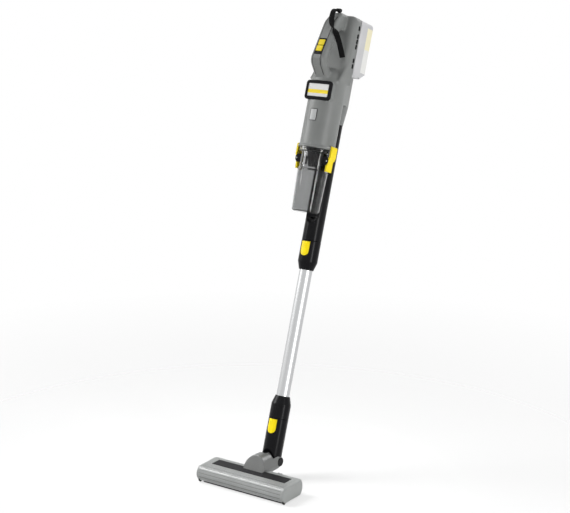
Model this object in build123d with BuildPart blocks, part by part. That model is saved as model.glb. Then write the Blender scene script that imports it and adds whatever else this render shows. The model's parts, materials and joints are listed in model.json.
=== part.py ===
"""Cordless stick vacuum: motor body with handle and battery, dust cup, wand, swivel neck and floor head."""

import os
from math import cos, pi, radians, sin, tan

from build123d import *

os.makedirs("parts", exist_ok=True)

# Frame: the sole's rear land is at the origin on the floor, -Y is the push direction, +Z is up.
LEAN = 18.5  # the stick leans back from upright by this many degrees
PIVOT = Vector(0, 66.0, 45.0)  # where the neck's pitch axis meets the stick's own axis
UP = Vector(0, sin(radians(LEAN)), cos(radians(LEAN)))  # along the stick
FRONT = Vector(0, -cos(radians(LEAN)), sin(radians(LEAN)))  # square to it, to the front

GAP = 0.3  # between pieces that move past each other
FIT = 0.06  # radial room of a pin or shaft in its bore

# Couplings: a spigot on the upper piece goes down into a socket on the lower one.
COUPLING_R = 24.2
SPIGOT_R = 18.2
SPIGOT_LENGTH = 44.0
SOCKET_R = SPIGOT_R + GAP
AIR_R = 14.0
THROAT_R = 16.0
BUTTON_WIDTH = 22.0
BUTTON_TOP = 3.0  # below the seam
BUTTON_STRAIGHT = 24.0
BUTTON_FACE_R = 25.2
BUTTON_BACK_R = 21.8
FLANGE_BACK_R = 20.6
FLANGE_LIP = 2.0

# Places along the stick, measured up from the neck pivot.
NECK_SEAM = 103.0
FITTING_CONE = 138.0
TUBE_SHOWS_FROM = 158.0
TUBE_SHOWS_TO = 471.0
COLLAR_CONE_TOP = 491.0
WAND_SEAM = 543.0
INLET_TOP = 586.0
CUP_BOTTOM = 607.0
CUP_NECK = 716.0
BODY_BOTTOM = 763.0
BATTERY_BOTTOM = 953.0
BATTERY_TOP = 1093.0
BODY_TOP = 1096.0

TUBE_R = 16.0
TUBE_WALL = 1.2
CONE_END_R = 18.0

# Motor body and dust cup share one axis, forward of the stick.
BARREL_V = 51.0
BARREL_R = 43.5
DUCT_R = 24.0

CUP_R_BOTTOM = 34.0
CUP_R_TOP = 37.5
CUP_NECK_R = 35.0
CUP_RIM_R = 41.0
CUP_WALL = 2.0

# Floor head
HEAD_WIDTH = 258.0
CAP_WIDTH = 8.0
CAP_ROUNDING = 4.0
SHELL_HALF = HEAD_WIDTH / 2 - CAP_WIDTH
HEAD_TOP = 42.0
BRUSH_Y = -35.0
BRUSH_Z = 18.0
BRUSH_R = 17.6
CHAMBER_R = 19.5
TURBINE_Y = -1.0
TURBINE_Z = 20.0
NOSE_R = 29.5
NOSE_FRONT = -11.0
NOSE_BACK = 27.85
NOSE_SUNK = 6.0


def stick(t, v=0.0):
    """Plane square to the stick, t up it and v forward of it; its own +Y points back."""
    return Plane(origin=PIVOT + UP * t + FRONT * v, x_dir=(1, 0, 0), z_dir=UP)


def front(t, v=0.0):
    """Plane facing forward; its own X is the row's X and its own Y runs up the stick."""
    return Plane(origin=PIVOT + UP * t + FRONT * v, x_dir=(1, 0, 0), z_dir=FRONT)


def side(x=0.0):
    """Upright plane along the stick; its own X is forward, its own Y is up the stick, it faces -X."""
    return Plane(origin=PIVOT + Vector(x, 0, 0), x_dir=FRONT, z_dir=(-1, 0, 0))


def along_x(x, y, z):
    """Plane facing +X at a place in the row frame; its own X is +Y and its own Y is +Z."""
    return Plane(origin=(x, y, z), x_dir=(0, 1, 0), z_dir=(1, 0, 0))


def along_y(y, z):
    """Plane facing +Y on the middle plane; its own X is -X and its own Y is +Z."""
    return Plane(origin=(0, y, z), x_dir=(-1, 0, 0), z_dir=(0, 1, 0))


def stick_axis(v=0.0):
    return Axis(PIVOT + FRONT * v, UP)


def turned(points, v=0.0, mode=Mode.ADD):
    """Body of revolution about a line along the stick, from (radius, t) points."""
    with BuildSketch(side()) as profile:
        Polygon(*[(v + r, t) for r, t in points], align=None)
    revolve(profile.sketch, axis=stick_axis(v), mode=mode)


def turned_x(points, y, z, mode=Mode.ADD):
    """Body of revolution about a line along X, from (x, radius) points."""
    with BuildSketch(Plane.XY.offset(z)) as profile:
        Polygon(*[(x, y + r) for x, r in points], align=None)
    revolve(profile.sketch, axis=Axis((0, y, z), (1, 0, 0)), mode=mode)


def rod_x(radius, x0, x1, y, z, mode=Mode.ADD):
    """Round bar along X."""
    with BuildSketch(along_x(x0, y, z)) as section:
        Circle(radius)
    extrude(section.sketch, amount=x1 - x0, mode=mode)


def rod_y(radius, y0, y1, z, mode=Mode.ADD):
    """Round bar along Y on the middle plane."""
    with BuildSketch(along_y(y0, z)) as section:
        Circle(radius)
    extrude(section.sketch, amount=y1 - y0, mode=mode)


def save(piece, name):
    piece.part.label = name
    export_step(piece.part, f"parts/{name}.step")
    return piece.part


def release_outline(seam, grow):
    """Face of a release button: square at the top and round at the bottom."""
    with BuildSketch(front(seam)) as outline:
        with Locations((0, -BUTTON_TOP - BUTTON_STRAIGHT / 2)):
            Rectangle(BUTTON_WIDTH + 2 * grow, BUTTON_STRAIGHT + 2 * grow)
        with Locations((0, -BUTTON_TOP - BUTTON_STRAIGHT)):
            Circle(BUTTON_WIDTH / 2 + grow)
    return outline.sketch


def curved_plate(seam, grow, inner, outer):
    """Piece of a tube's wall, as large as a release button grown by a margin."""
    with BuildPart() as plate:
        extrude(release_outline(seam, grow), amount=BUTTON_FACE_R + 2)
        with BuildSketch(stick(seam - 60)) as ring:
            Circle(outer)
            Circle(inner, mode=Mode.SUBTRACT)
        extrude(ring.sketch, amount=70, mode=Mode.INTERSECT)
    return plate.part


def cut_release_window(seam):
    """Window for a release button in a socket's wall, with room behind it for the button's flange."""
    add(curved_plate(seam, GAP, 1, BUTTON_FACE_R + 1), mode=Mode.SUBTRACT)
    add(curved_plate(seam, FLANGE_LIP + GAP, 1, BUTTON_BACK_R + 0.2), mode=Mode.SUBTRACT)


# Neck: a socket above, and a forked end that swings between the yoke's ears
NECK_CAVITY_R = 20.0
FORK_R = 11.0
NECK_PIN_R = 4.0
SOCKET_FLOOR = NECK_SEAM - SPIGOT_LENGTH - 2

with BuildPart() as neck_socket:
    turned(
        [
            (NECK_CAVITY_R, -FORK_R), (COUPLING_R, -FORK_R), (COUPLING_R, NECK_SEAM - 1),
            (COUPLING_R - 1, NECK_SEAM), (SOCKET_R, NECK_SEAM), (SOCKET_R, SOCKET_FLOOR),
            (AIR_R, SOCKET_FLOOR), (AIR_R, 42), (NECK_CAVITY_R, 36),
        ]
    )
    with BuildSketch(side()) as fork:
        Circle(FORK_R)
        Polygon((FORK_R, 0), (26, 31), (26, 110), (-26, 110), (-26, 24), (-FORK_R, 0), align=None)
    extrude(fork.sketch, amount=30, both=True, mode=Mode.INTERSECT)
    rod_x(NECK_PIN_R + FIT, -30, 30, PIVOT.Y, PIVOT.Z, mode=Mode.SUBTRACT)
    cut_release_window(NECK_SEAM)
save(neck_socket, "neck_socket")


def release_button(seam, name):
    with BuildPart() as button:
        add(curved_plate(seam, 0, BUTTON_BACK_R, BUTTON_FACE_R))
        add(curved_plate(seam, FLANGE_LIP, FLANGE_BACK_R, BUTTON_BACK_R))
    return save(button, name)


release_button(NECK_SEAM, "lower_release_button")
release_button(WAND_SEAM, "upper_release_button")

# Ribbed hose: a quarter bend from the yoke's bore up into the neck
HOSE_R = 13.0
HOSE_GROOVE_R = 11.4
HOSE_BORE_R = 10.0
HOSE_RIBS = 12
HOSE_START = 34.0  # in front of the pivot
HOSE_END = 48.0  # up the stick
HOSE_CUFF = 4.0
hose_turn = 90.0 - LEAN
hose_bend = HOSE_START / ((1 - cos(radians(hose_turn))) / sin(radians(hose_turn)))
hose_centre = Vector(0, PIVOT.Y - HOSE_START, PIVOT.Z + hose_bend)


def hose_section(share):
    """Plane square to the hose, at a share of its bend from the yoke's end."""
    a = radians(hose_turn * share)
    place = hose_centre + Vector(0, sin(a), -cos(a)) * hose_bend
    return Plane(origin=place, x_dir=(1, 0, 0), z_dir=(0, cos(a), sin(a)))


with BuildPart() as neck_hose:
    for rib in range(HOSE_RIBS):
        for step, radius in ((0.0, HOSE_GROOVE_R), (0.3, HOSE_R), (0.6, HOSE_R), (0.9, HOSE_GROOVE_R)):
            with BuildSketch(hose_section((rib + step) / HOSE_RIBS)):
                Circle(radius)
    with BuildSketch(hose_section(1.0)):
        Circle(HOSE_GROOVE_R)
    loft(ruled=True)
    with BuildSketch(stick(HOSE_START)) as hose_end:
        Circle(HOSE_GROOVE_R)
    extrude(hose_end.sketch, amount=HOSE_END - HOSE_START)
    turned([(0, HOSE_END - HOSE_CUFF), (AIR_R, HOSE_END - HOSE_CUFF), (AIR_R, HOSE_END), (0, HOSE_END)])
    rod_y(THROAT_R - GAP, PIVOT.Y - HOSE_START - HOSE_CUFF, PIVOT.Y - HOSE_START, PIVOT.Z)
    rod_y(HOSE_BORE_R, PIVOT.Y - HOSE_START - HOSE_CUFF, PIVOT.Y - HOSE_START, PIVOT.Z, mode=Mode.SUBTRACT)
    with BuildLine() as hose_line:
        bend = ThreePointArc(*[hose_section(share).origin for share in (0, 0.5, 1)])
        Line(bend @ 1, PIVOT + UP * HOSE_END)
    with BuildSketch(hose_section(0)) as hose_bore:
        Circle(HOSE_BORE_R)
    sweep(hose_bore.sketch, path=hose_line.line, mode=Mode.SUBTRACT)
save(neck_hose, "neck_hose")

# Wand: lower fitting, tube and upper collar
with BuildPart() as lower_fitting:
    turned(
        [
            (AIR_R, NECK_SEAM - SPIGOT_LENGTH), (SPIGOT_R - 1, NECK_SEAM - SPIGOT_LENGTH),
            (SPIGOT_R, NECK_SEAM - SPIGOT_LENGTH + 1), (SPIGOT_R, NECK_SEAM + GAP),
            (COUPLING_R, NECK_SEAM + GAP), (COUPLING_R, FITTING_CONE), (CONE_END_R, TUBE_SHOWS_FROM),
            (TUBE_R, TUBE_SHOWS_FROM), (TUBE_R, NECK_SEAM + 10), (AIR_R, NECK_SEAM + 10),
        ]
    )
save(lower_fitting, "lower_fitting")

with BuildPart() as wand_tube:
    tube_ends = (NECK_SEAM + 10, COLLAR_CONE_TOP)
    turned(
        [
            (TUBE_R - TUBE_WALL, tube_ends[0]), (TUBE_R, tube_ends[0]),
            (TUBE_R, tube_ends[1]), (TUBE_R - TUBE_WALL, tube_ends[1]),
        ]
    )
save(wand_tube, "wand_tube")

COLLAR_FLOOR = WAND_SEAM - SPIGOT_LENGTH - 2
with BuildPart() as upper_collar:
    turned(
        [
            (TUBE_R, TUBE_SHOWS_TO), (CONE_END_R, TUBE_SHOWS_TO), (COUPLING_R, COLLAR_CONE_TOP),
            (COUPLING_R, WAND_SEAM - 1), (COUPLING_R - 1, WAND_SEAM), (SOCKET_R, WAND_SEAM),
            (SOCKET_R, COLLAR_FLOOR), (AIR_R, COLLAR_FLOOR), (AIR_R, COLLAR_CONE_TOP),
            (TUBE_R, COLLAR_CONE_TOP),
        ]
    )
    cut_release_window(WAND_SEAM)
save(upper_collar, "upper_collar")

# Inlet duct: a round coupling that turns into a channel hugging the cup
DUCT_TOP = 905.0
DUCT_MOUTH = WAND_SEAM - SPIGOT_LENGTH - 4
CUP_CLEARANCE = 3.0
with BuildPart() as inlet_duct:
    turned(
        [
            (0, WAND_SEAM - SPIGOT_LENGTH), (SPIGOT_R - 1, WAND_SEAM - SPIGOT_LENGTH),
            (SPIGOT_R, WAND_SEAM - SPIGOT_LENGTH + 1), (SPIGOT_R, WAND_SEAM + GAP),
            (DUCT_R, WAND_SEAM + GAP), (DUCT_R, DUCT_TOP), (0, DUCT_TOP),
        ]
    )
    turned(
        [
            (0, INLET_TOP), (BARREL_V - DUCT_R, INLET_TOP), (CUP_R_TOP + CUP_CLEARANCE, CUP_BOTTOM - 6),
            (CUP_R_TOP + CUP_CLEARANCE, BODY_BOTTOM - 12), (BARREL_R + 3, BODY_BOTTOM - 12),
            (BARREL_R + 3, BODY_BOTTOM + 8), (BARREL_R + GAP, BODY_BOTTOM + 8),
            (BARREL_R + GAP, DUCT_TOP), (0, DUCT_TOP),
        ],
        v=BARREL_V,
        mode=Mode.SUBTRACT,
    )
    turned([(0, DUCT_MOUTH), (AIR_R, DUCT_MOUTH), (AIR_R, CUP_BOTTOM - 6), (0, CUP_BOTTOM - 6)], mode=Mode.SUBTRACT)
    with BuildSketch(stick(INLET_TOP, -8)) as channel:
        Circle(12)
    extrude(channel.sketch, amount=DUCT_TOP - 4 - INLET_TOP, mode=Mode.SUBTRACT)
save(inlet_duct, "inlet_duct")

# Motor body: barrel, duct cover, upper body and handle, split down the middle
HALF_WIDTH = 44.0
COVER_R = 29.0
RIM_R = 46.5
BATTERY_FACE = 22.5  # the battery slides up and down on this face
LABEL_FACE = 88.0
LABEL_T = 901.0
LABEL_SIZE = (74.0, 47.0)
HANDLE_HALF = 19.0
STRIP_HALF = 11.5
STRIP_DEPTH = 3.0
HANDLE_OUTER = [(36, 1096), (72, 1097), (96, 1069), (126.5, 973), (119.5, 957.5), (86, 927), (36, 927)]
HANDLE_ROUNDING = [1, 12, 40, 10, 10, 6, 1]
HANDLE_OPENING = [(30, 944), (70, 944), (99.5, 969.5), (96.5, 986), (77, 1046), (64, 1056), (30, 1056)]
OPENING_ROUNDING = [1, 8, 10, 60, 14, 6, 1]


def handle_outline():
    with BuildSketch(side()) as outline:
        with BuildLine():
            FilletPolyline(*HANDLE_OUTER, radius=HANDLE_ROUNDING, close=True)
        make_face()
    return outline.sketch


# Switch panel on the handle's sloping front
SWITCH_T = 1003.0
switch_run = (Vector(*HANDLE_OUTER[2]) - Vector(*HANDLE_OUTER[3])).normalized()
SWITCH_PLACE = Vector(*HANDLE_OUTER[3]) + switch_run * ((SWITCH_T - HANDLE_OUTER[3][1]) / switch_run.Y)
SWITCH_UP = FRONT * switch_run.X + UP * switch_run.Y
SWITCH_OUT = FRONT * switch_run.Y - UP * switch_run.X
SWITCH_SIZE = (20.0, 44.0)
SWITCH_BUTTON = (16.0, 14.5)
SWITCH_POCKET = 14.0


def switch(depth=0.0):
    """Plane on the handle's sloping front, sunk by a depth; it faces out of the handle."""
    place = PIVOT + FRONT * SWITCH_PLACE.X + UP * SWITCH_PLACE.Y - SWITCH_OUT * depth
    return Plane(origin=place, x_dir=(1, 0, 0), z_dir=SWITCH_OUT)


UPPER_SIDE = [(BATTERY_FACE, 930), (BATTERY_FACE, BODY_TOP), (50, BODY_TOP), (55, 1056), (60, 960), (75, 930)]
UPPER_ROUNDING = 15.0
MOTOR_CAVITY_R = 35.0
MOTOR_CAVITY = (800.0, 922.0)
PORT_R = 20.0
SEAL_R = (36.0, 39.5)
SEAL_DEPTH = 3.0
WINDOW_T = 841.0
WINDOW_SIZE = (19.0, 29.0)
WINDOW_R = (41.5, 43.9)
VENT_T = [1070, 1050, 1037, 1024, 990, 976]
VENT_V = 29.0
VENT_SIZE = (12.0, 6.0)
VENT_DEPTH = 3.0
SCREW_PLACES = [(51, 784), (51, 868), (34, 1007), (34, 1082), (80, 937), (113, 968)]
SCREW_HEAD_R = 3.4
SCREW_LENGTH = 9.0
VENT_SLIT = (8.0, 2.2)
POCKET_SIZE = (19.4, 42.0)
SWITCH_SHIFTS = [10.2, -6.3]
PLATE_SIZE = (58.0, 31.0)
STRAP_LOCK_T = (1099.5, 1107.5)
STRAP_LOCK_V = (60.0, 71.0)
SHAFT_R = 4.0
MOTOR_R = 30.0
FAN_R = 33.0
FAN_BLADES = 7
SCREW_SHANK_R = 1.6
SCREW_HEAD_X = [-42.0, -42.5, -42.0, -38.0, -17.0, -17.0]


def at_side(x, v, t):
    """Plane at a place on the machine's side; it faces -X, its own X is forward and its own Y is up."""
    return Plane(origin=PIVOT + FRONT * v + UP * t + Vector(x, 0, 0), x_dir=FRONT, z_dir=(-1, 0, 0))


def side_hole(radius, x, v, t, depth, mode=Mode.SUBTRACT):
    """Round bar or hole that runs from x towards +X, at a place on the machine's side."""
    with BuildSketch(at_side(x, v, t)) as section:
        Circle(radius)
    extrude(section.sketch, amount=-depth, mode=mode)


def vent_oval(x, t, size, depth, mode=Mode.ADD):
    """Oval in the machine's side wall, running inward from x."""
    with BuildSketch(at_side(x, VENT_V, t)) as oval:
        SlotOverall(size[0], size[1], rotation=90)
    extrude(oval.sketch, amount=depth if x > 0 else -depth, mode=mode)


def barrel_plate(t, size, rounding, inner, outer):
    """Rounded rectangle of the barrel's wall, on its front."""
    with BuildPart() as plate:
        with BuildSketch(front(t, BARREL_V)) as outline:
            RectangleRounded(size[0], size[1], rounding)
        extrude(outline.sketch, amount=outer + 5)
        with BuildSketch(stick(t - size[1], BARREL_V)) as ring:
            Circle(outer)
            Circle(inner, mode=Mode.SUBTRACT)
        extrude(ring.sketch, amount=2 * size[1], mode=Mode.INTERSECT)
    return plate.part


def handle_strip(half_width):
    """Outer skin of the handle's front, between its foot and its top."""
    with BuildPart() as strip:
        with BuildSketch(side()) as skin:
            add(side().to_local_coords(handle_outline()))
            offset(amount=-STRIP_DEPTH, mode=Mode.SUBTRACT)
            Polygon((60, 938), (130, 938), (130, 1084), (60, 1084), align=None, mode=Mode.INTERSECT)
        extrude(skin.sketch, amount=half_width, both=True)
    return strip.part


def switch_block(size, shift, near, far, mode=Mode.ADD):
    """Rectangular block in the handle's sloping front, between two depths."""
    with BuildSketch(switch(far)) as outline:
        with Locations((0, shift)):
            RectangleRounded(size[0], size[1], 1.2)
    extrude(outline.sketch, amount=far - near, mode=mode)


def strap_lug(mode=Mode.ADD):
    """Flat lug that stands in the handle's top."""
    with BuildSketch(side()) as lug:
        Polygon((57, 1088), (65, 1088), (65, STRAP_LOCK_T[0]), (57, STRAP_LOCK_T[0]), align=None)
    extrude(lug.sketch, amount=2.5, both=True, mode=mode)


with BuildPart() as upper:
    with BuildSketch(side()) as upper_side:
        Polygon(*UPPER_SIDE, align=None)
    extrude(upper_side.sketch, amount=HALF_WIDTH, both=True)
    rounded = upper.edges().filter_by(
        lambda e: abs(abs(e.center().X) - HALF_WIDTH) < 0.01 and 20 < e.length < 100 and abs(e.length - 33.5) > 1
        and abs(e.length - 52.5) > 1
    )
    fillet(rounded, UPPER_ROUNDING)

with BuildPart() as handle:
    extrude(handle_outline(), amount=HANDLE_HALF, both=True)
    rims = handle.edges().filter_by(lambda e: abs(abs(e.center().X) - HANDLE_HALF) < 0.01)
    fillet(rims, 7)
    with BuildSketch(side()) as opening:
        with BuildLine():
            FilletPolyline(*HANDLE_OPENING, radius=OPENING_ROUNDING, close=True)
        make_face()
    extrude(opening.sketch, amount=HALF_WIDTH, both=True, mode=Mode.SUBTRACT)
    grip_edges = handle.edges().filter_by(
        lambda e: abs(abs(e.center().X) - HANDLE_HALF) < 0.01 and side().to_local_coords(e.center()).X > 62
    )
    fillet(grip_edges, 5)

with BuildPart() as body:
    turned([(0, 834), (DUCT_R + 0.5, 834), (COVER_R, 880), (COVER_R, 890), (0, 890)])
    with BuildSketch(stick(880)) as cover:
        Circle(COVER_R)
        with Locations((0, -BARREL_V)):
            Circle(HALF_WIDTH)
        make_hull()
    extrude(cover.sketch, amount=90)
    with BuildSketch(side()) as over_cover:
        Polygon((100, 914), (BATTERY_FACE, 968), (BATTERY_FACE, BATTERY_BOTTOM - GAP),
                (-40, BATTERY_BOTTOM - GAP), (-40, 1000), (100, 1000), align=None)
    extrude(over_cover.sketch, amount=60, both=True, mode=Mode.SUBTRACT)
    turned([(0, 800), (DUCT_R, 800), (DUCT_R, DUCT_TOP), (0, DUCT_TOP)], mode=Mode.SUBTRACT)
    with BuildSketch(side()) as barrel:
        with BuildLine():
            Polyline(
                (BARREL_V + 20, 962), (BARREL_V, 962), (BARREL_V, BODY_BOTTOM), (BARREL_V + RIM_R, BODY_BOTTOM),
                (BARREL_V + RIM_R, BODY_BOTTOM + 4), (BARREL_V + BARREL_R, BODY_BOTTOM + 7),
                (BARREL_V + BARREL_R, 926),
            )
            ThreePointArc((BARREL_V + BARREL_R, 926), (BARREL_V + 36, 945), (BARREL_V + 20, 962))
        make_face()
    revolve(barrel.sketch, axis=stick_axis(BARREL_V))
    add(upper.part)
    add(handle.part)
    with BuildSketch(front(LABEL_T, BARREL_V)) as label_block:
        RectangleRounded(LABEL_SIZE[0], LABEL_SIZE[1], 8)
    extrude(label_block.sketch, amount=LABEL_FACE - BARREL_V)
    extrude(label_block.sketch.moved(Location(FRONT * (LABEL_FACE - BARREL_V))), amount=20, mode=Mode.SUBTRACT)
    # room inside: motor, intake port, seal groove, cover strip, switches, vents, window, screws
    turned([(0, MOTOR_CAVITY[0]), (MOTOR_CAVITY_R, MOTOR_CAVITY[0]), (MOTOR_CAVITY_R, MOTOR_CAVITY[1]),
            (0, MOTOR_CAVITY[1])], v=BARREL_V, mode=Mode.SUBTRACT)
    turned([(0, BODY_BOTTOM), (PORT_R, BODY_BOTTOM), (PORT_R, MOTOR_CAVITY[0]), (0, MOTOR_CAVITY[0])],
           v=BARREL_V, mode=Mode.SUBTRACT)
    turned([(SEAL_R[0], BODY_BOTTOM), (SEAL_R[1], BODY_BOTTOM), (SEAL_R[1], BODY_BOTTOM + SEAL_DEPTH),
            (SEAL_R[0], BODY_BOTTOM + SEAL_DEPTH)], v=BARREL_V, mode=Mode.SUBTRACT)
    add(handle_strip(STRIP_HALF + 0.2), mode=Mode.SUBTRACT)
    add(barrel_plate(WINDOW_T, WINDOW_SIZE, 2, WINDOW_R[0], WINDOW_R[1] + 2), mode=Mode.SUBTRACT)
    switch_block(POCKET_SIZE, 0, -5, SWITCH_POCKET, mode=Mode.SUBTRACT)
    strap_lug(mode=Mode.SUBTRACT)
    for x in (-HALF_WIDTH, HALF_WIDTH):
        for t in VENT_T:
            vent_oval(x, t, VENT_SIZE, VENT_DEPTH, mode=Mode.SUBTRACT)
    for (v, t), x in zip(SCREW_PLACES, SCREW_HEAD_X):
        side_hole(SCREW_HEAD_R + 0.2, -50, v, t, x + 52.5)
        side_hole(SCREW_SHANK_R, x + 2, v, t, SCREW_LENGTH)


def housing_half(keep, name):
    """One half of the motor body, cut on the middle plane."""
    with BuildPart() as half:
        add(body.part)
        split(bisect_by=Plane.YZ, keep=keep)
    return save(half, name)


housing_half(Keep.TOP, "housing_right")
housing_half(Keep.BOTTOM, "housing_left")

with BuildPart() as housing_screws:
    for (v, t), x in zip(SCREW_PLACES, SCREW_HEAD_X):
        side_hole(SCREW_HEAD_R, x, v, t, 2.5, mode=Mode.ADD)
        side_hole(SCREW_SHANK_R, x + 2, v, t, SCREW_LENGTH, mode=Mode.ADD)
save(housing_screws, "housing_screws")

with BuildPart() as vent_grilles:
    for x in (-HALF_WIDTH, HALF_WIDTH):
        for t in VENT_T:
            vent_oval(x, t, VENT_SIZE, VENT_DEPTH)
            vent_oval(x, t, VENT_SLIT, VENT_DEPTH / 2, mode=Mode.SUBTRACT)
save(vent_grilles, "vent_grilles")

with BuildPart() as handle_cover:
    add(handle_strip(STRIP_HALF))
    switch_block((SWITCH_SIZE[0] + 0.4, SWITCH_SIZE[1] + 0.4), 0, -5, SWITCH_POCKET, mode=Mode.SUBTRACT)
save(handle_cover, "handle_cover")

with BuildPart() as switch_frame:
    switch_block(SWITCH_SIZE, 0, -0.6, STRIP_DEPTH)
    for shift in SWITCH_SHIFTS:
        switch_block((SWITCH_BUTTON[0] + 2 * GAP, SWITCH_BUTTON[1] + 2 * GAP), shift, -5, 10, mode=Mode.SUBTRACT)
save(switch_frame, "switch_frame")


def switch_button(shift, name):
    with BuildPart() as button:
        switch_block(SWITCH_BUTTON, shift, -1.8, 4.6)
        switch_block((SWITCH_BUTTON[0] + 2, SWITCH_BUTTON[1]), shift, STRIP_DEPTH + GAP, 4.6)
    return save(button, name)


switch_button(SWITCH_SHIFTS[0], "power_button")
switch_button(SWITCH_SHIFTS[1], "boost_button")

with BuildPart() as control_board:
    switch_block((16, 38), 0, 11.4, 13.0)
    for shift in SWITCH_SHIFTS:
        switch_block((6, 6), shift, 8.2, 11.4)
    switch_block((16, 38), 0, 13.0, SWITCH_POCKET)
save(control_board, "control_board")

with BuildPart() as label_bezel:
    with BuildSketch(front(LABEL_T, LABEL_FACE)) as bezel:
        RectangleRounded(LABEL_SIZE[0], LABEL_SIZE[1], 8)
    extrude(bezel.sketch, amount=5)
    chamfer(label_bezel.faces().sort_by(Axis(PIVOT, FRONT))[-1].edges(), 1.6)
    with BuildSketch(front(LABEL_T, LABEL_FACE + 3.4)) as plate_recess:
        RectangleRounded(PLATE_SIZE[0], PLATE_SIZE[1], 1.5)
    extrude(plate_recess.sketch, amount=5, mode=Mode.SUBTRACT)
save(label_bezel, "label_bezel")

with BuildPart() as label_plate:
    extrude(plate_recess.sketch, amount=0.8)
save(label_plate, "label_plate")

with BuildPart() as status_window:
    add(barrel_plate(WINDOW_T, (WINDOW_SIZE[0] - 0.4, WINDOW_SIZE[1] - 0.4), 2, *WINDOW_R))
save(status_window, "status_window")

# Fan motor on the barrel's axis
with BuildPart() as motor_can:
    turned([(SHAFT_R + FIT, 830), (13, 830), (13, 835), (MOTOR_R, 835), (MOTOR_R, 906), (12, 910), (12, 914),
            (SHAFT_R + FIT, 914)], v=BARREL_V)
    with BuildSketch(stick(835, BARREL_V)) as air_slots:
        with PolarLocations(22, 8):
            SlotOverall(9, 4)
    extrude(air_slots.sketch, amount=72, mode=Mode.SUBTRACT)
save(motor_can, "motor_can")

with BuildPart() as motor_ring:
    turned([(MOTOR_R, 846), (MOTOR_CAVITY_R, 846), (MOTOR_CAVITY_R, 854), (MOTOR_R + 2, 854), (MOTOR_R + 2, 858),
            (MOTOR_R, 858)], v=BARREL_V)
save(motor_ring, "motor_ring")

with BuildPart() as motor_shaft:
    turned([(0, 804), (SHAFT_R, 804), (SHAFT_R, 916), (0, 916)], v=BARREL_V)
save(motor_shaft, "motor_shaft")

with BuildPart() as impeller:
    turned([(SHAFT_R, 806), (9, 806), (11, 818), (FAN_R, 824), (FAN_R, 826), (SHAFT_R, 826)], v=BARREL_V)
    with BuildSketch(stick(810, BARREL_V)) as blades:
        with PolarLocations(0, FAN_BLADES):
            with BuildLine():
                outer = ThreePointArc((9, 0), (19, 4), (FAN_R - 1, 14))
                inner = ThreePointArc((9, 1.4), (18.6, 5.4), (FAN_R - 1.6, 15.2))
                Line(outer @ 0, inner @ 0)
                Line(outer @ 1, inner @ 1)
            make_face()
    extrude(blades.sketch, amount=14.5)
save(impeller, "impeller")

with BuildPart() as container_seal:
    turned([(SEAL_R[0], BODY_BOTTOM), (SEAL_R[1], BODY_BOTTOM), (SEAL_R[1], BODY_BOTTOM + SEAL_DEPTH),
            (SEAL_R[0], BODY_BOTTOM + SEAL_DEPTH)], v=BARREL_V)
save(container_seal, "container_seal")

# Battery rail on the housing's rear face: a T-shaped guide
RAIL_HALF = (24.0, 30.0)
RAIL_V = (BATTERY_FACE, 19.0, 16.0)
RAIL_T = (962.0, 1084.0)


def rail_block(half, v0, v1, t0, t1, mode=Mode.ADD):
    """Block on the machine's rear between two forward distances and two heights."""
    with BuildSketch(stick(t0, (v0 + v1) / 2)) as section:
        Rectangle(2 * half, abs(v0 - v1))
    extrude(section.sketch, amount=t1 - t0, mode=mode)


with BuildPart() as battery_rail:
    rail_block(RAIL_HALF[0], RAIL_V[0], RAIL_V[2], *RAIL_T)
    rail_block(RAIL_HALF[1], RAIL_V[1], RAIL_V[2], *RAIL_T)
    for x in (-14, 0, 14):
        with BuildSketch(stick(RAIL_T[0], RAIL_V[2])) as blade_slot:
            with Locations((x, 0)):
                Rectangle(2, 9)
        extrude(blade_slot.sketch, amount=26, mode=Mode.SUBTRACT)
save(battery_rail, "battery_rail")

# Battery pack: front case with the rail channel, rear cover, cells and latch
PACK_HALF = 44.0
PACK_ROUNDING = 8.0
PACK_HEEL = 17.0
PACK_V = (21.8, -9.0, -35.0)
CELL_R = 9.1
CELL_LENGTH = 65.0
CELL_T = [981, 1000, 1019, 1038, 1057]
CELL_V = [2.5, -16.5]
LATCH_T = 1086.0


def pack_block(v0, v1):
    """Rounded block of the battery pack between two forward distances."""
    with BuildSketch(stick(BATTERY_BOTTOM, (v0 + v1) / 2)) as section:
        Rectangle(2 * PACK_HALF, abs(v0 - v1))
    extrude(section.sketch, amount=BATTERY_TOP - BATTERY_BOTTOM)


def pack_room(v0, v1):
    rail_block(34, v0, v1, 968, 1070, mode=Mode.SUBTRACT)


with BuildPart() as battery_case:
    pack_block(PACK_V[0], PACK_V[1])
    fillet(battery_case.edges().filter_by(Axis(PIVOT, FRONT)), PACK_ROUNDING)
    rail_block(RAIL_HALF[0] + GAP, RAIL_V[0], RAIL_V[2], BATTERY_BOTTOM - 1, RAIL_T[1] + GAP, mode=Mode.SUBTRACT)
    rail_block(RAIL_HALF[1] + GAP, RAIL_V[1] + GAP, RAIL_V[2] - GAP, BATTERY_BOTTOM - 1, RAIL_T[1] + GAP,
               mode=Mode.SUBTRACT)
    pack_room(12.2, PACK_V[1])
    rail_block(15, 12.2, 3, LATCH_T - 6, BATTERY_TOP + 1, mode=Mode.SUBTRACT)
save(battery_case, "battery_case")

with BuildPart() as battery_cover:
    pack_block(PACK_V[1], PACK_V[2])
    with BuildSketch(side()) as heel:
        Polygon((PACK_V[2], BATTERY_BOTTOM), (PACK_V[1], BATTERY_BOTTOM), (PACK_V[2], BATTERY_BOTTOM + PACK_HEEL),
                align=None)
    extrude(heel.sketch, amount=60, both=True, mode=Mode.SUBTRACT)
    fillet(battery_cover.edges().filter_by(Axis(PIVOT, FRONT)).sort_by(stick_axis())[-2:], PACK_ROUNDING)
    fillet(battery_cover.faces().sort_by(Axis(PIVOT, FRONT))[0].edges(), 5)
    pack_room(PACK_V[1], -28)
save(battery_cover, "battery_cover")

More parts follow.
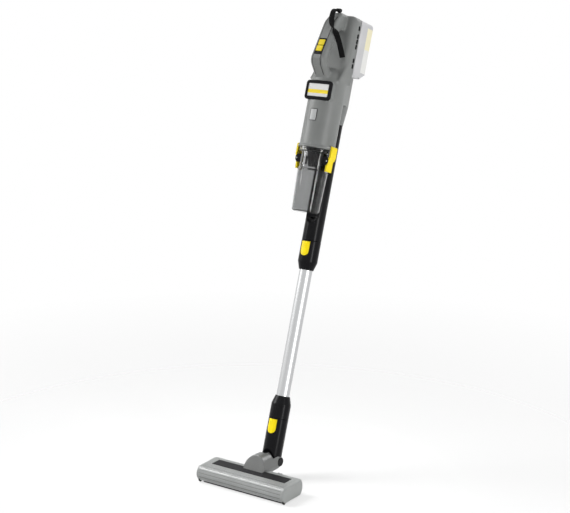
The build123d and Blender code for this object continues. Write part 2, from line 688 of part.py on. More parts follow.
with BuildPart() as battery_cells:
    for t in CELL_T:
        for v in CELL_V:
            side_hole(CELL_R, -CELL_LENGTH / 2, v, t, CELL_LENGTH, mode=Mode.ADD)
save(battery_cells, "battery_cells")

with BuildPart() as battery_latch:
    rail_block(15 - GAP, 12.2 - GAP, 3 + GAP, LATCH_T - 2, BATTERY_TOP + 1)
    for ridge in (5.2, 7.6, 10.0):
        rail_block(12, ridge - 0.5, ridge + 0.5, BATTERY_TOP + 1, BATTERY_TOP + 1.8)
save(battery_latch, "battery_latch")


# Dust cup, filter and the two clips that hold the cup
CLIP_HALF = 12.0
CLIP_PIVOT = (43.6, 736.0)
CLIP_PIN_R = 1.5
CLIP_SIDE = [(41, 711), (45, 711), (46, 736), (51, 745), (51, 771), (46.9, 773), (46.9, 748), (41.5, 738)]
BRACKET_SIDE = [(30, 726), (42, 726), (47, 732), (47, 740), (43, 746), (30, 746)]
BRACKET_V = (CLIP_HALF + GAP, CLIP_HALF + GAP + 3)
FILTER_FLANGE = (757.0, 762.5)
FILTER_BOTTOM = 716.0
FILTER_R = (13.0, 22.0)
PLEAT_DEPTH = 3.0
PLEATS = 22


def cross_plate(points, hand, v0, v1, mode=Mode.ADD):
    """Plate facing forward from (x, t) points on one side, between two forward distances."""
    with BuildSketch(front(0, v0)) as outline:
        Polygon(*[(hand * x, t) for x, t in points], align=None)
    extrude(outline.sketch, amount=v1 - v0, mode=mode)


def clip_rod(radius, hand, mode=Mode.ADD):
    """Round bar or hole on a clip's pivot."""
    with BuildSketch(front(CLIP_PIVOT[1], BARREL_V)) as section:
        with Locations((hand * CLIP_PIVOT[0], 0)):
            Circle(radius)
    extrude(section.sketch, amount=BRACKET_V[1], both=True, mode=mode)


with BuildPart() as dust_cup:
    turned(
        [
            (0, CUP_BOTTOM), (CUP_R_BOTTOM - 4, CUP_BOTTOM), (CUP_R_BOTTOM, CUP_BOTTOM + 4),
            (CUP_R_TOP, CUP_NECK - 4), (CUP_NECK_R, CUP_NECK), (CUP_NECK_R, 752), (CUP_RIM_R, 754),
            (CUP_RIM_R, BODY_BOTTOM - GAP), (CUP_NECK_R - CUP_WALL, BODY_BOTTOM - GAP),
            (CUP_NECK_R - CUP_WALL, CUP_NECK - 2), (CUP_R_TOP - CUP_WALL, CUP_NECK - 8),
            (CUP_R_BOTTOM - CUP_WALL, CUP_BOTTOM + 4), (CUP_R_BOTTOM - 4, CUP_BOTTOM + 2.5), (0, CUP_BOTTOM + 2.5),
        ],
        v=BARREL_V,
    )
    for t in (720, 748):
        turned([(CUP_NECK_R - 1, t), (CUP_NECK_R + 1.4, t + 0.5), (CUP_NECK_R + 1.4, t + 2), (CUP_NECK_R - 1, t + 2.5)],
               v=BARREL_V)
save(dust_cup, "dust_cup")


def cup_clip(hand, name):
    with BuildPart() as clip:
        cross_plate(CLIP_SIDE, hand, BARREL_V - CLIP_HALF, BARREL_V + CLIP_HALF)
        clip_rod(CLIP_PIN_R + FIT, hand, mode=Mode.SUBTRACT)
    return save(clip, name)


cup_clip(1, "clip_right")
cup_clip(-1, "clip_left")

with BuildPart() as clip_brackets:
    for hand in (-1, 1):
        cross_plate(BRACKET_SIDE, hand, BARREL_V + BRACKET_V[0], BARREL_V + BRACKET_V[1])
        cross_plate(BRACKET_SIDE, hand, BARREL_V - BRACKET_V[1], BARREL_V - BRACKET_V[0])
        clip_rod(CLIP_PIN_R, hand, mode=Mode.SUBTRACT)
    turned([(0, 700), (CUP_NECK_R, 700), (CUP_NECK_R, 760), (0, 760)], v=BARREL_V, mode=Mode.SUBTRACT)
save(clip_brackets, "clip_brackets")

with BuildPart() as clip_pins:
    for hand in (-1, 1):
        clip_rod(CLIP_PIN_R, hand)
save(clip_pins, "clip_pins")

with BuildPart() as filter_frame:
    turned([(15, FILTER_FLANGE[0]), (24, FILTER_FLANGE[0]), (24, FILTER_FLANGE[1]), (PORT_R - GAP, FILTER_FLANGE[1]),
            (PORT_R - GAP, 772), (15, 772)], v=BARREL_V)
save(filter_frame, "filter_frame")


def pleated_star(t, outer):
    """Folded outline of the filter's paper at one height."""
    with BuildSketch(stick(t, BARREL_V)) as star:
        folds = [(outer - PLEAT_DEPTH * (fold % 2), pi * fold / PLEATS) for fold in range(2 * PLEATS)]
        Polygon(*[(r * cos(a), r * sin(a)) for r, a in folds], align=None)
    return star.sketch


with BuildPart() as filter_element:
    loft([pleated_star(FILTER_BOTTOM + 2, FILTER_R[0]), pleated_star(FILTER_FLANGE[0], FILTER_R[1])], ruled=True)
    turned([(0, FILTER_BOTTOM), (12, FILTER_BOTTOM), (14, FILTER_BOTTOM + 2), (0, FILTER_BOTTOM + 2)], v=BARREL_V)
    turned([(0, FILTER_BOTTOM + 6), (6, FILTER_BOTTOM + 6), (15, FILTER_FLANGE[0]), (0, FILTER_FLANGE[0])],
           v=BARREL_V, mode=Mode.SUBTRACT)
save(filter_element, "filter_element")

# Swivel: the yoke carries the neck between its ears and rolls on a trunnion in the head's nose
YOKE_FRONT = NOSE_BACK + GAP
YOKE_R = 29.2
YOKE_SLOT_Y = PIVOT.Y - 26
EAR_INNER = COUPLING_R + 0.4
EAR_R = 11.5
BOSS_X = 27.6
TRUNNION_R = 20.0
TRUNNION_END = NOSE_BACK - 12
CAP_R = 10.5

with BuildPart() as swivel_yoke:
    with BuildSketch(along_x(0, PIVOT.Y, PIVOT.Z)) as yoke_side:
        Circle(EAR_R)
        with Locations((YOKE_FRONT - PIVOT.Y + 2, 0)):
            Rectangle(4, 2 * YOKE_R)
        make_hull()
    extrude(yoke_side.sketch, amount=40, both=True)
    rod_y(YOKE_R, YOKE_FRONT, PIVOT.Y + 20, PIVOT.Z, mode=Mode.INTERSECT)
    rod_y(TRUNNION_R, TRUNNION_END, YOKE_FRONT, PIVOT.Z)
    rod_y(THROAT_R, TRUNNION_END, YOKE_SLOT_Y, PIVOT.Z, mode=Mode.SUBTRACT)
    with BuildSketch(along_y(YOKE_SLOT_Y, PIVOT.Z)) as yoke_slot:
        Rectangle(2 * EAR_INNER, 80)
    extrude(yoke_slot.sketch, amount=60, mode=Mode.SUBTRACT)
    for hand in (-1, 1):
        rod_x(EAR_R + 0.4, hand * EAR_INNER, hand * BOSS_X, PIVOT.Y, PIVOT.Z)
        rod_x(EAR_R + 0.4, hand * BOSS_X, hand * 32, PIVOT.Y, PIVOT.Z, mode=Mode.SUBTRACT)
    rod_x(NECK_PIN_R, -30, 30, PIVOT.Y, PIVOT.Z, mode=Mode.SUBTRACT)
save(swivel_yoke, "swivel_yoke")

with BuildPart() as pivot_pins:
    for hand in (-1, 1):
        rod_x(NECK_PIN_R, hand * (NECK_CAVITY_R - 0.2), hand * BOSS_X, PIVOT.Y, PIVOT.Z)
        rod_x(CAP_R, hand * BOSS_X, hand * (BOSS_X + 1.8), PIVOT.Y, PIVOT.Z)
save(pivot_pins, "pivot_pins")

# Floor head: shell, nose, top panel, sole plate and end caps
HEAD_RIDGE = (-55.5, 40.3)
HEAD_FRONT = (-67.0, 23.0)
HEAD_FRONT_FOOT = (-54.0, 3.0)
HEAD_REAR_TOP = (10.0, HEAD_TOP)
HEAD_REAR = (17.0, 25.0)
HEAD_REAR_FOOT = (6.0, 3.0)
NOSE_FLOOR = 39.3
NOSE_SLOPE = 0.56
PANEL_HALF = 108.0
PANEL_Y = (-30.0, 0.0)
CHAMBER_X = (2 - SHELL_HALF, SHELL_HALF - 11)
PARTITION = 3.0
TURBINE_X = (CHAMBER_X[1] - 42, CHAMBER_X[1])
TURBINE_ROOM_R = 12.5
LIP_Y = -62.6
LIP_Z = (12.4, 13.4)
BRUSH_STUB_R = 3.0
BRUSH_SHAFT_R = 5.0
BRUSH_PULLEY_R = 8.0
TURBINE_SHAFT_R = 3.0
TURBINE_PULLEY_R = 4.5
BELT_THICK = 1.2
SOLE_Y = (-54.0, 4.0)
SOLE_THICK = 3.0
SOLE_MOUTH_X = (CHAMBER_X[0] + 4, CHAMBER_X[1] - 2)
SOLE_MOUTH_Y = (-50.5, -19.0)
ROLLER_R = 5.0
ROLLER_X = (SHELL_HALF + 0.8, SHELL_HALF + 5.6)
ROLLER_Y = -55.5
WHEEL_R = 6.0
WHEEL_X = (17.0, 23.0)
WHEEL_Y = 71.0
ARM_X = (15.0, 25.0)
ARM_Z = (4.0, 11.0)
AXLE_R = 1.5
belt_run = (TURBINE_Y - BRUSH_Y, TURBINE_Z - BRUSH_Z)


def head_section(x):
    """Side outline of the head."""
    with BuildSketch(along_x(x, 0, 0)) as outline:
        with BuildLine():
            ThreePointArc(HEAD_RIDGE, HEAD_FRONT, HEAD_FRONT_FOOT)
            Line(HEAD_FRONT_FOOT, HEAD_REAR_FOOT)
            ThreePointArc(HEAD_REAR_FOOT, HEAD_REAR, HEAD_REAR_TOP)
            Line(HEAD_REAR_TOP, HEAD_RIDGE)
        make_face()
    return outline.sketch


def block(x0, x1, y0, y1, z0, z1, mode=Mode.ADD):
    """Box between two corners in the row frame."""
    with BuildSketch(Plane.XY.offset(z0)) as plan:
        with Locations(((x0 + x1) / 2, (y0 + y1) / 2)):
            Rectangle(x1 - x0, y1 - y0)
    extrude(plan.sketch, amount=z1 - z0, mode=mode)


def belt_outline(x, grow):
    """Outline round both pulleys, grown by a margin."""
    with BuildSketch(along_x(x, BRUSH_Y, BRUSH_Z)) as outline:
        Circle(BRUSH_PULLEY_R + grow)
        with Locations(belt_run):
            Circle(TURBINE_PULLEY_R + grow)
        make_hull()
    return outline.sketch


def tail_arms():
    """Two arms under the swivel, joined across the head's rear."""
    for hand in (-1, 1):
        inner, outer = sorted((hand * ARM_X[0], hand * ARM_X[1]))
        block(inner, outer, -6, WHEEL_Y + 7, *ARM_Z)
    block(-ARM_X[1], ARM_X[1], -6, 12, ARM_Z[0], ARM_Z[0] + 4)


with BuildPart() as swivel_nose:
    rod_y(NOSE_R, NOSE_FRONT, NOSE_BACK, PIVOT.Z)
    block(-40, 40, NOSE_FRONT - 1, NOSE_SUNK, 0, NOSE_FLOOR, mode=Mode.SUBTRACT)
    with BuildSketch(along_x(0, NOSE_FRONT, NOSE_FLOOR)) as slope:
        Polygon((-1, 0), (0, 0), (NOSE_SLOPE * 40, 40), (-1, 40), align=None)
    extrude(slope.sketch, amount=40, both=True, mode=Mode.SUBTRACT)
    fillet(swivel_nose.edges().filter_by(GeomType.ELLIPSE), 3)
    rod_y(THROAT_R, NOSE_SUNK - 2, NOSE_BACK, PIVOT.Z, mode=Mode.SUBTRACT)
    rod_y(TRUNNION_R + 0.08, TRUNNION_END - GAP, NOSE_BACK, PIVOT.Z, mode=Mode.SUBTRACT)
save(swivel_nose, "swivel_nose")

with BuildPart() as tail_bracket:
    tail_arms()
    for hand in (-1, 1):
        inner, outer = sorted((hand * (WHEEL_X[0] - 0.4), hand * (WHEEL_X[1] + 0.4)))
        block(inner, outer, WHEEL_Y - WHEEL_R - 0.6, WHEEL_Y + 8, 0, 20, mode=Mode.SUBTRACT)
    rod_x(AXLE_R, -30, 30, WHEEL_Y, WHEEL_R, mode=Mode.SUBTRACT)
save(tail_bracket, "tail_bracket")

with BuildPart() as head_shell:
    extrude(head_section(-SHELL_HALF), amount=2 * SHELL_HALF)
    # top: panel recess, nose seat and the air way below it
    block(-PANEL_HALF - 0.2, PANEL_HALF + 0.2, PANEL_Y[0] - 0.2, PANEL_Y[1] + 0.2, NOSE_FLOOR, 60, mode=Mode.SUBTRACT)
    block(-NOSE_R, NOSE_R, PANEL_Y[1], NOSE_SUNK, NOSE_FLOOR, 60, mode=Mode.SUBTRACT)
    rod_y(NOSE_R, NOSE_SUNK, NOSE_BACK, PIVOT.Z, mode=Mode.SUBTRACT)
    block(-13, 13, BRUSH_Y + 10, NOSE_SUNK, BRUSH_Z + 4, BRUSH_Z + 18, mode=Mode.SUBTRACT)
    # brush, turbine and belt rooms
    rod_x(CHAMBER_R, *CHAMBER_X, BRUSH_Y, BRUSH_Z, mode=Mode.SUBTRACT)
    block(SOLE_MOUTH_X[0], SOLE_MOUTH_X[1], SOLE_MOUTH_Y[0], SOLE_MOUTH_Y[1], 0, BRUSH_Z, mode=Mode.SUBTRACT)
    rod_x(TURBINE_ROOM_R, *TURBINE_X, TURBINE_Y, TURBINE_Z, mode=Mode.SUBTRACT)
    block(TURBINE_X[0] + 6, TURBINE_X[1] - 6, BRUSH_Y + 14, TURBINE_Y - 8, BRUSH_Z, BRUSH_Z + 5, mode=Mode.SUBTRACT)
    extrude(belt_outline(CHAMBER_X[1] + PARTITION, 2.5), amount=20, mode=Mode.SUBTRACT)
    # bearings
    rod_x(BRUSH_STUB_R + FIT, -130, 0, BRUSH_Y, BRUSH_Z, mode=Mode.SUBTRACT)
    rod_x(BRUSH_SHAFT_R + FIT, 0, 130, BRUSH_Y, BRUSH_Z, mode=Mode.SUBTRACT)
    rod_x(TURBINE_SHAFT_R + FIT, TURBINE_X[0] - 5, 130, TURBINE_Y, TURBINE_Z, mode=Mode.SUBTRACT)
    # seats of the tail arms, and the lip line along the front
    add(tail_bracket.part, mode=Mode.SUBTRACT)
    block(-SHELL_HALF, SHELL_HALF, -80, LIP_Y, *LIP_Z, mode=Mode.SUBTRACT)
save(head_shell, "head_shell")

with BuildPart() as top_panel:
    with BuildSketch(Plane.XY.offset(NOSE_FLOOR)) as panel_plan:
        with Locations((0, (PANEL_Y[0] + PANEL_Y[1]) / 2)):
            Rectangle(2 * PANEL_HALF, PANEL_Y[1] - PANEL_Y[0])
    extrude(panel_plan.sketch, amount=HEAD_TOP - NOSE_FLOOR)
    chamfer(top_panel.faces().sort_by(Axis.Z)[-1].edges(), 0.8)
    block(-NOSE_R - 0.4, NOSE_R + 0.4, NOSE_FRONT - GAP, 20, 0, 60, mode=Mode.SUBTRACT)
save(top_panel, "top_panel")

with BuildPart() as sole_plate:
    with BuildSketch() as sole_plan:
        with Locations((0, (SOLE_Y[0] + SOLE_Y[1]) / 2)):
            RectangleRounded(2 * SHELL_HALF - 6, SOLE_Y[1] - SOLE_Y[0], 5)
    extrude(sole_plan.sketch, amount=SOLE_THICK)
    block(SOLE_MOUTH_X[0], SOLE_MOUTH_X[1], SOLE_MOUTH_Y[0], SOLE_MOUTH_Y[1], -1, 5, mode=Mode.SUBTRACT)
save(sole_plate, "sole_plate")


def end_cap(hand, name):
    """Rounded end of the head, with a roller pocket at its front foot."""
    with BuildPart() as cap:
        extrude(head_section(hand * SHELL_HALF), amount=hand * CAP_WIDTH)
        fillet(cap.faces().sort_by(Axis.X)[-1 if hand > 0 else 0].edges(), CAP_ROUNDING)
        rod_x(BRUSH_STUB_R + FIT, 0, hand * (SHELL_HALF + 4.5), BRUSH_Y, BRUSH_Z, mode=Mode.SUBTRACT)
        inner, outer = sorted((hand * (ROLLER_X[0] - GAP), hand * (ROLLER_X[1] + GAP)))
        block(inner, outer, -80, ROLLER_Y + ROLLER_R + 0.6, 0, 2 * ROLLER_R + 1, mode=Mode.SUBTRACT)
        rod_x(AXLE_R, 0, hand * (ROLLER_X[1] + 1.5), ROLLER_Y, ROLLER_R, mode=Mode.SUBTRACT)
    return save(cap, name)


end_cap(1, "end_cap_right")
end_cap(-1, "end_cap_left")

# Brush roller, air turbine and belt
BRUSH_CORE_R = 9.0
CORE_X = (CHAMBER_X[0] + 2, CHAMBER_X[1] - 3)
PULLEY_X = (CHAMBER_X[1] + 4.5, CHAMBER_X[1] + 10)
STUB_END = SHELL_HALF + 4
BRISTLE_ROWS = 4
BRISTLE_X = (CHAMBER_X[0] + 7, CHAMBER_X[1] - 6)
BRISTLE_TURN = 160.0
BRISTLE_STEPS = 12
BRISTLE_THICK = 1.8
TURBINE_R = 10.5
TURBINE_BLADES = 8

with BuildPart() as brush_core:
    turned_x([(-STUB_END, 0), (-STUB_END, BRUSH_STUB_R), (CORE_X[0], BRUSH_STUB_R), (CORE_X[0], BRUSH_CORE_R),
              (CORE_X[1], BRUSH_CORE_R), (CORE_X[1], BRUSH_SHAFT_R), (PULLEY_X[0], BRUSH_SHAFT_R),
              (PULLEY_X[0], BRUSH_PULLEY_R), (PULLEY_X[1], BRUSH_PULLEY_R), (PULLEY_X[1], BRUSH_STUB_R),
              (STUB_END, BRUSH_STUB_R), (STUB_END, 0)], BRUSH_Y, BRUSH_Z)
save(brush_core, "brush_core")

with BuildPart() as brush_bristles:
    for row in range(BRISTLE_ROWS):
        sections = []
        for step in range(BRISTLE_STEPS + 1):
            share = step / BRISTLE_STEPS
            a = radians(360 * row / BRISTLE_ROWS + BRISTLE_TURN * share)
            x = BRISTLE_X[0] + (BRISTLE_X[1] - BRISTLE_X[0]) * share
            place = Plane(origin=(x, BRUSH_Y, BRUSH_Z), x_dir=(0, cos(a), sin(a)), z_dir=(1, 0, 0))
            with BuildSketch(place) as section:
                with Locations(((BRUSH_R + BRUSH_CORE_R) / 2 - 0.6, 0)):
                    Rectangle(BRUSH_R - BRUSH_CORE_R + 1, BRISTLE_THICK)
            sections.append(section.sketch)
        loft(sections, ruled=True)
    rod_x(BRUSH_CORE_R, -130, 130, BRUSH_Y, BRUSH_Z, mode=Mode.SUBTRACT)
save(brush_bristles, "brush_bristles")

with BuildPart() as turbine_wheel:
    turned_x([(TURBINE_X[0] - 4, 0), (TURBINE_X[0] - 4, TURBINE_SHAFT_R), (TURBINE_X[0] + 2, TURBINE_SHAFT_R),
              (TURBINE_X[0] + 2, 4), (TURBINE_X[1] - 2, 4), (TURBINE_X[1] - 2, TURBINE_SHAFT_R),
              (PULLEY_X[0], TURBINE_SHAFT_R), (PULLEY_X[0], TURBINE_PULLEY_R), (PULLEY_X[1], TURBINE_PULLEY_R),
              (PULLEY_X[1], 0)], TURBINE_Y, TURBINE_Z)
    with BuildSketch(along_x(TURBINE_X[0] + 3, TURBINE_Y, TURBINE_Z)) as vanes:
        with PolarLocations((TURBINE_R + 3) / 2, TURBINE_BLADES):
            Rectangle(TURBINE_R - 3, 1.4)
    extrude(vanes.sketch, amount=36)
save(turbine_wheel, "turbine_wheel")

with BuildPart() as drive_belt:
    extrude(belt_outline(PULLEY_X[0] + 0.7, GAP + BELT_THICK), amount=4.2)
    extrude(belt_outline(PULLEY_X[0] + 0.7, GAP), amount=4.2, mode=Mode.SUBTRACT)
save(drive_belt, "drive_belt")


# Rollers, wheels and axles
def wheel(radius, x0, x1, y, name):
    with BuildPart() as tyre:
        rod_x(radius, x0, x1, y, radius)
        chamfer(tyre.edges().filter_by(GeomType.CIRCLE), 0.6)
        rod_x(AXLE_R + FIT, x0, x1, y, radius, mode=Mode.SUBTRACT)
    return save(tyre, name)


wheel(ROLLER_R, *ROLLER_X, ROLLER_Y, "front_roller_right")
wheel(ROLLER_R, -ROLLER_X[1], -ROLLER_X[0], ROLLER_Y, "front_roller_left")
wheel(WHEEL_R, *WHEEL_X, WHEEL_Y, "rear_wheel_right")
wheel(WHEEL_R, -WHEEL_X[1], -WHEEL_X[0], WHEEL_Y, "rear_wheel_left")

with BuildPart() as wheel_axles:
    for hand in (-1, 1):
        rod_x(AXLE_R, hand * SHELL_HALF, hand * (ROLLER_X[1] + 1.5), ROLLER_Y, ROLLER_R)
        rod_x(AXLE_R, hand * ARM_X[0], hand * ARM_X[1], WHEEL_Y, WHEEL_R)
save(wheel_axles, "wheel_axles")

# Wrist strap: webbing that hangs from a cord lock on the handle's top
STRAP_TUBE_R = 2.2
STRAP_ROUTE = [
    (0, 71, 1103.5), (0, 82, 1103.5), (1.5, 93, 1094.5), (5, 100, 1078), (13, 106, 1060), (25, 101, 1043),
    (30, 89, 1025), (32.5, 77, 1007.5), (34.5, 67, 990),
]  # sideways, forward of the stick and up it

with BuildPart() as strap_anchor:
    strap_lug()
save(strap_anchor, "strap_anchor")

with BuildPart() as strap_lock:
    with BuildSketch(side()) as lock_side:
        with Locations((sum(STRAP_LOCK_V) / 2, sum(STRAP_LOCK_T) / 2)):
            Rectangle(STRAP_LOCK_V[1] - STRAP_LOCK_V[0], STRAP_LOCK_T[1] - STRAP_LOCK_T[0])
    extrude(lock_side.sketch, amount=5, both=True)
    chamfer(strap_lock.edges().filter_by(Axis.X), 1.5)
save(strap_lock, "strap_lock")

strap_points = [PIVOT + FRONT * v + UP * t + Vector(x, 0, 0) for x, v, t in STRAP_ROUTE]
strap_radii = []
for before, corner, after in zip(strap_points, strap_points[1:], strap_points[2:]):
    first, second = corner - before, after - corner
    half_turn = radians(first.get_angle(second)) / 2
    strap_radii.append(0.45 * min(first.length, second.length) / tan(half_turn))
print("strap radii", [round(r, 1) for r in strap_radii])

with BuildPart() as wrist_strap:
    with BuildLine() as strap_line:
        FilletPolyline(*strap_points, radius=strap_radii)
    with BuildSketch(Plane(origin=strap_points[0], z_dir=strap_points[1] - strap_points[0])) as webbing:
        Circle(STRAP_TUBE_R)
    sweep(webbing.sketch, path=strap_line.line)
strap_length = strap_line.wires()[0].length
print("strap length", strap_length, "volume share", wrist_strap.part.volume / (pi * STRAP_TUBE_R**2 * strap_length))
save(wrist_strap, "wrist_strap")
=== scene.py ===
"""Looks of the cordless stick vacuum: materials, skin, hose, bristles, strap, floor, light and camera."""

import json
from math import cos, pi, radians, sin

import bmesh
import bpy
import numpy as np
from mathutils import Matrix, Vector


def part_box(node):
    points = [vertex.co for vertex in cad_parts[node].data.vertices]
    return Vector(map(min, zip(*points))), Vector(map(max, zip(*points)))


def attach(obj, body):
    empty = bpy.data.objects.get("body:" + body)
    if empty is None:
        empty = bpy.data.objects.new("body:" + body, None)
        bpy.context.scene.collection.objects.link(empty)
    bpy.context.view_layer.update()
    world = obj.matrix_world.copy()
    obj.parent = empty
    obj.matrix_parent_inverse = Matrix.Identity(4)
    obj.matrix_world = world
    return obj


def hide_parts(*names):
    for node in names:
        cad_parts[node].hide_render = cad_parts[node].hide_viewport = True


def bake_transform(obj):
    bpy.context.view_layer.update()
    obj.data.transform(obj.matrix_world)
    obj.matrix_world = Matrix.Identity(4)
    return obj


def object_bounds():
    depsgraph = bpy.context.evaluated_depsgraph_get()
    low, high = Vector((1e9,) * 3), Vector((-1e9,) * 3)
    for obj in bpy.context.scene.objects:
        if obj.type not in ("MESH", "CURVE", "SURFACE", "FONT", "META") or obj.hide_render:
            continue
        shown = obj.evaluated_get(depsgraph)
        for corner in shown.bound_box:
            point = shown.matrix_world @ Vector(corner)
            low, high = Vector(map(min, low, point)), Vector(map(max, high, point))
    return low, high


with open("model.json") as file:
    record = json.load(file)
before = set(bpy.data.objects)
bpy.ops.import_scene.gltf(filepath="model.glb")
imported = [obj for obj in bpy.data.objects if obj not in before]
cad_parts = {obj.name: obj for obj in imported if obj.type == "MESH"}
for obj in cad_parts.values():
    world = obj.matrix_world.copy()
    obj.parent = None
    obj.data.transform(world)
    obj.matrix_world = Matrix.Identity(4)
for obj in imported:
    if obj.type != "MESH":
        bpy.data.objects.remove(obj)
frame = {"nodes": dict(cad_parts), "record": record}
cad_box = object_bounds()
nodes = frame["nodes"]

# The part's own directions: the stick leans back, and places on it are sideways, forward and up it.
LEAN = radians(18.5)
PIVOT = Vector((0, 0.066, 0.045))
UP = Vector((0, sin(LEAN), cos(LEAN)))
FRONT = Vector((0, -cos(LEAN), sin(LEAN)))
SIDE = Vector((1, 0, 0))


def on_stick(x, v, t):
    """Point in the part's frame for a place on the stick in millimetres."""
    return PIVOT + (SIDE * x + FRONT * v + UP * t) / 1000


def height_of(t):
    """Height along the stick's direction, in metres, of a place t millimetres up from the pivot."""
    return PIVOT.dot(UP) + t / 1000


# Nodes that the materials share
def new_material(name):
    """A material with its node tree, its shader and the object's own coordinates."""
    made = bpy.data.materials.new(name)
    made.use_nodes = True
    tree = made.node_tree
    where = tree.nodes.new("ShaderNodeTexCoord")
    return made, tree, tree.nodes["Principled BSDF"], where.outputs["Object"]


def noise(tree, where, scale, detail=2.0, stretch=None):
    """Noise in the object's own space, drawn out along the stick where stretch is given."""
    if stretch:
        drawn = tree.nodes.new("ShaderNodeMapping")
        drawn.vector_type = "TEXTURE"
        drawn.inputs["Rotation"].default_value = (-LEAN, 0, 0)
        drawn.inputs["Scale"].default_value = (1.0, 1.0, stretch)
        tree.links.new(where, drawn.inputs["Vector"])
        where = drawn.outputs["Vector"]
    grain = tree.nodes.new("ShaderNodeTexNoise")
    grain.inputs["Scale"].default_value = scale
    grain.inputs["Detail"].default_value = detail
    tree.links.new(where, grain.inputs["Vector"])
    return grain.outputs["Fac"]


def waves(tree, where, direction, scale):
    """Even waves along one axis."""
    lines = tree.nodes.new("ShaderNodeTexWave")
    lines.bands_direction = direction
    lines.inputs["Scale"].default_value = scale
    tree.links.new(where, lines.inputs["Vector"])
    return lines.outputs["Fac"]


def along_axis(tree, where, axis):
    """One coordinate of a place."""
    axes = tree.nodes.new("ShaderNodeSeparateXYZ")
    tree.links.new(where, axes.inputs["Vector"])
    return axes.outputs[axis]


def height_up(tree, where):
    """Height of a place along the stick's direction, in metres."""
    along = tree.nodes.new("ShaderNodeVectorMath")
    along.operation = "DOT_PRODUCT"
    along.inputs[1].default_value = UP
    tree.links.new(where, along.inputs[0])
    return along.outputs["Value"]


def reckon(tree, operation, first, second=None):
    """Sum on a value; the second term, where there is one, is another value or a number."""
    done = tree.nodes.new("ShaderNodeMath")
    done.operation = operation
    tree.links.new(first, done.inputs[0])
    if isinstance(second, float):
        done.inputs[1].default_value = second
    elif second is not None:
        tree.links.new(second, done.inputs[1])
    return done.outputs["Value"]


def spread(tree, value, low, high, start=0.3, end=0.7):
    """Value moved from one range to another."""
    moved = tree.nodes.new("ShaderNodeMapRange")
    moved.inputs["From Min"].default_value = start
    moved.inputs["From Max"].default_value = end
    moved.inputs["To Min"].default_value = low
    moved.inputs["To Max"].default_value = high
    tree.links.new(value, moved.inputs["Value"])
    return moved.outputs["Result"]


def ramp(tree, value, stops, steps=False):
    """Colour ramp over a value; stops are pairs of place and colour."""
    tones = tree.nodes.new("ShaderNodeValToRGB")
    tones.color_ramp.interpolation = "CONSTANT" if steps else "LINEAR"
    marks = tones.color_ramp.elements
    while len(marks) < len(stops):
        marks.new(0.5)
    for mark, (at, colour) in zip(marks, stops):
        mark.position = at
        mark.color = (*colour, 1)
    tree.links.new(value, tones.inputs["Fac"])
    return tones.outputs["Color"]


def toned(tree, value, dark, light, start=0.3, end=0.7):
    """Colour from dark to light over the middle of a noise."""
    return ramp(tree, value, [(start, dark), (end, light)])


def clouded(tree, where, dark, light):
    """Colour that wanders slowly between two close tones."""
    return toned(tree, noise(tree, where, scale=18.0, detail=5.0), dark, light)


def mixed(tree, share, first, colour):
    """Change from a first colour to a plain one by a share."""
    shade = tree.nodes.new("ShaderNodeMix")
    shade.data_type = "RGBA"
    tree.links.new(share, shade.inputs["Factor"])
    tree.links.new(first, shade.inputs["A"])
    shade.inputs["B"].default_value = (*colour, 1)
    return shade.outputs["Result"]


def relief(tree, shader, height, strength, depth, edge=0.0):
    """Bump from a height, over edges that are softened by a small radius."""
    bump = tree.nodes.new("ShaderNodeBump")
    bump.inputs["Strength"].default_value = strength
    bump.inputs["Distance"].default_value = depth
    tree.links.new(height, bump.inputs["Height"])
    if edge:
        soft = tree.nodes.new("ShaderNodeBevel")
        soft.samples = 8
        soft.inputs["Radius"].default_value = edge
        tree.links.new(soft.outputs["Normal"], bump.inputs["Normal"])
    tree.links.new(bump.outputs["Normal"], shader.inputs["Normal"])
    return bump


GRAIN = 1800.0
SOFT_EDGE = 0.0006


def grained(tree, shader, where, rough, grain=GRAIN, strength=0.12, edge=0.0, span=0.06, depth=0.0002):
    """Uneven gloss and a fine grain, whose bump is returned."""
    fine = noise(tree, where, grain)
    tree.links.new(spread(tree, fine, rough - span, rough + span), shader.inputs["Roughness"])
    return relief(tree, shader, fine, strength, depth, edge)


# Materials
def moulded(
    name, dark, light, rough, grain=GRAIN, strength=0.12, edge=SOFT_EDGE, coat=0.0, metal=0.0, gloss=0.5
):
    """Moulded plastic or plain metal: two close tones, uneven gloss and a fine grain."""
    made, tree, shader, where = new_material(name)
    tree.links.new(clouded(tree, where, dark, light), shader.inputs["Base Color"])
    shader.inputs["Metallic"].default_value = metal
    shader.inputs["Specular IOR Level"].default_value = gloss
    shader.inputs["Coat Weight"].default_value = coat
    shader.inputs["Coat Roughness"].default_value = 0.12
    grained(tree, shader, where, rough, grain, strength, edge)
    return made


LINE_SCALE = 45.0
LINE_SHARE = 0.06  # of a wave's height that is groove
LINE_PAINTED_SHADE = 0.35  # of the dark tone, which the grooves take as painted shade
LINED_FRONT = (-0.047, -0.045)  # the grooves fade out between these places in y


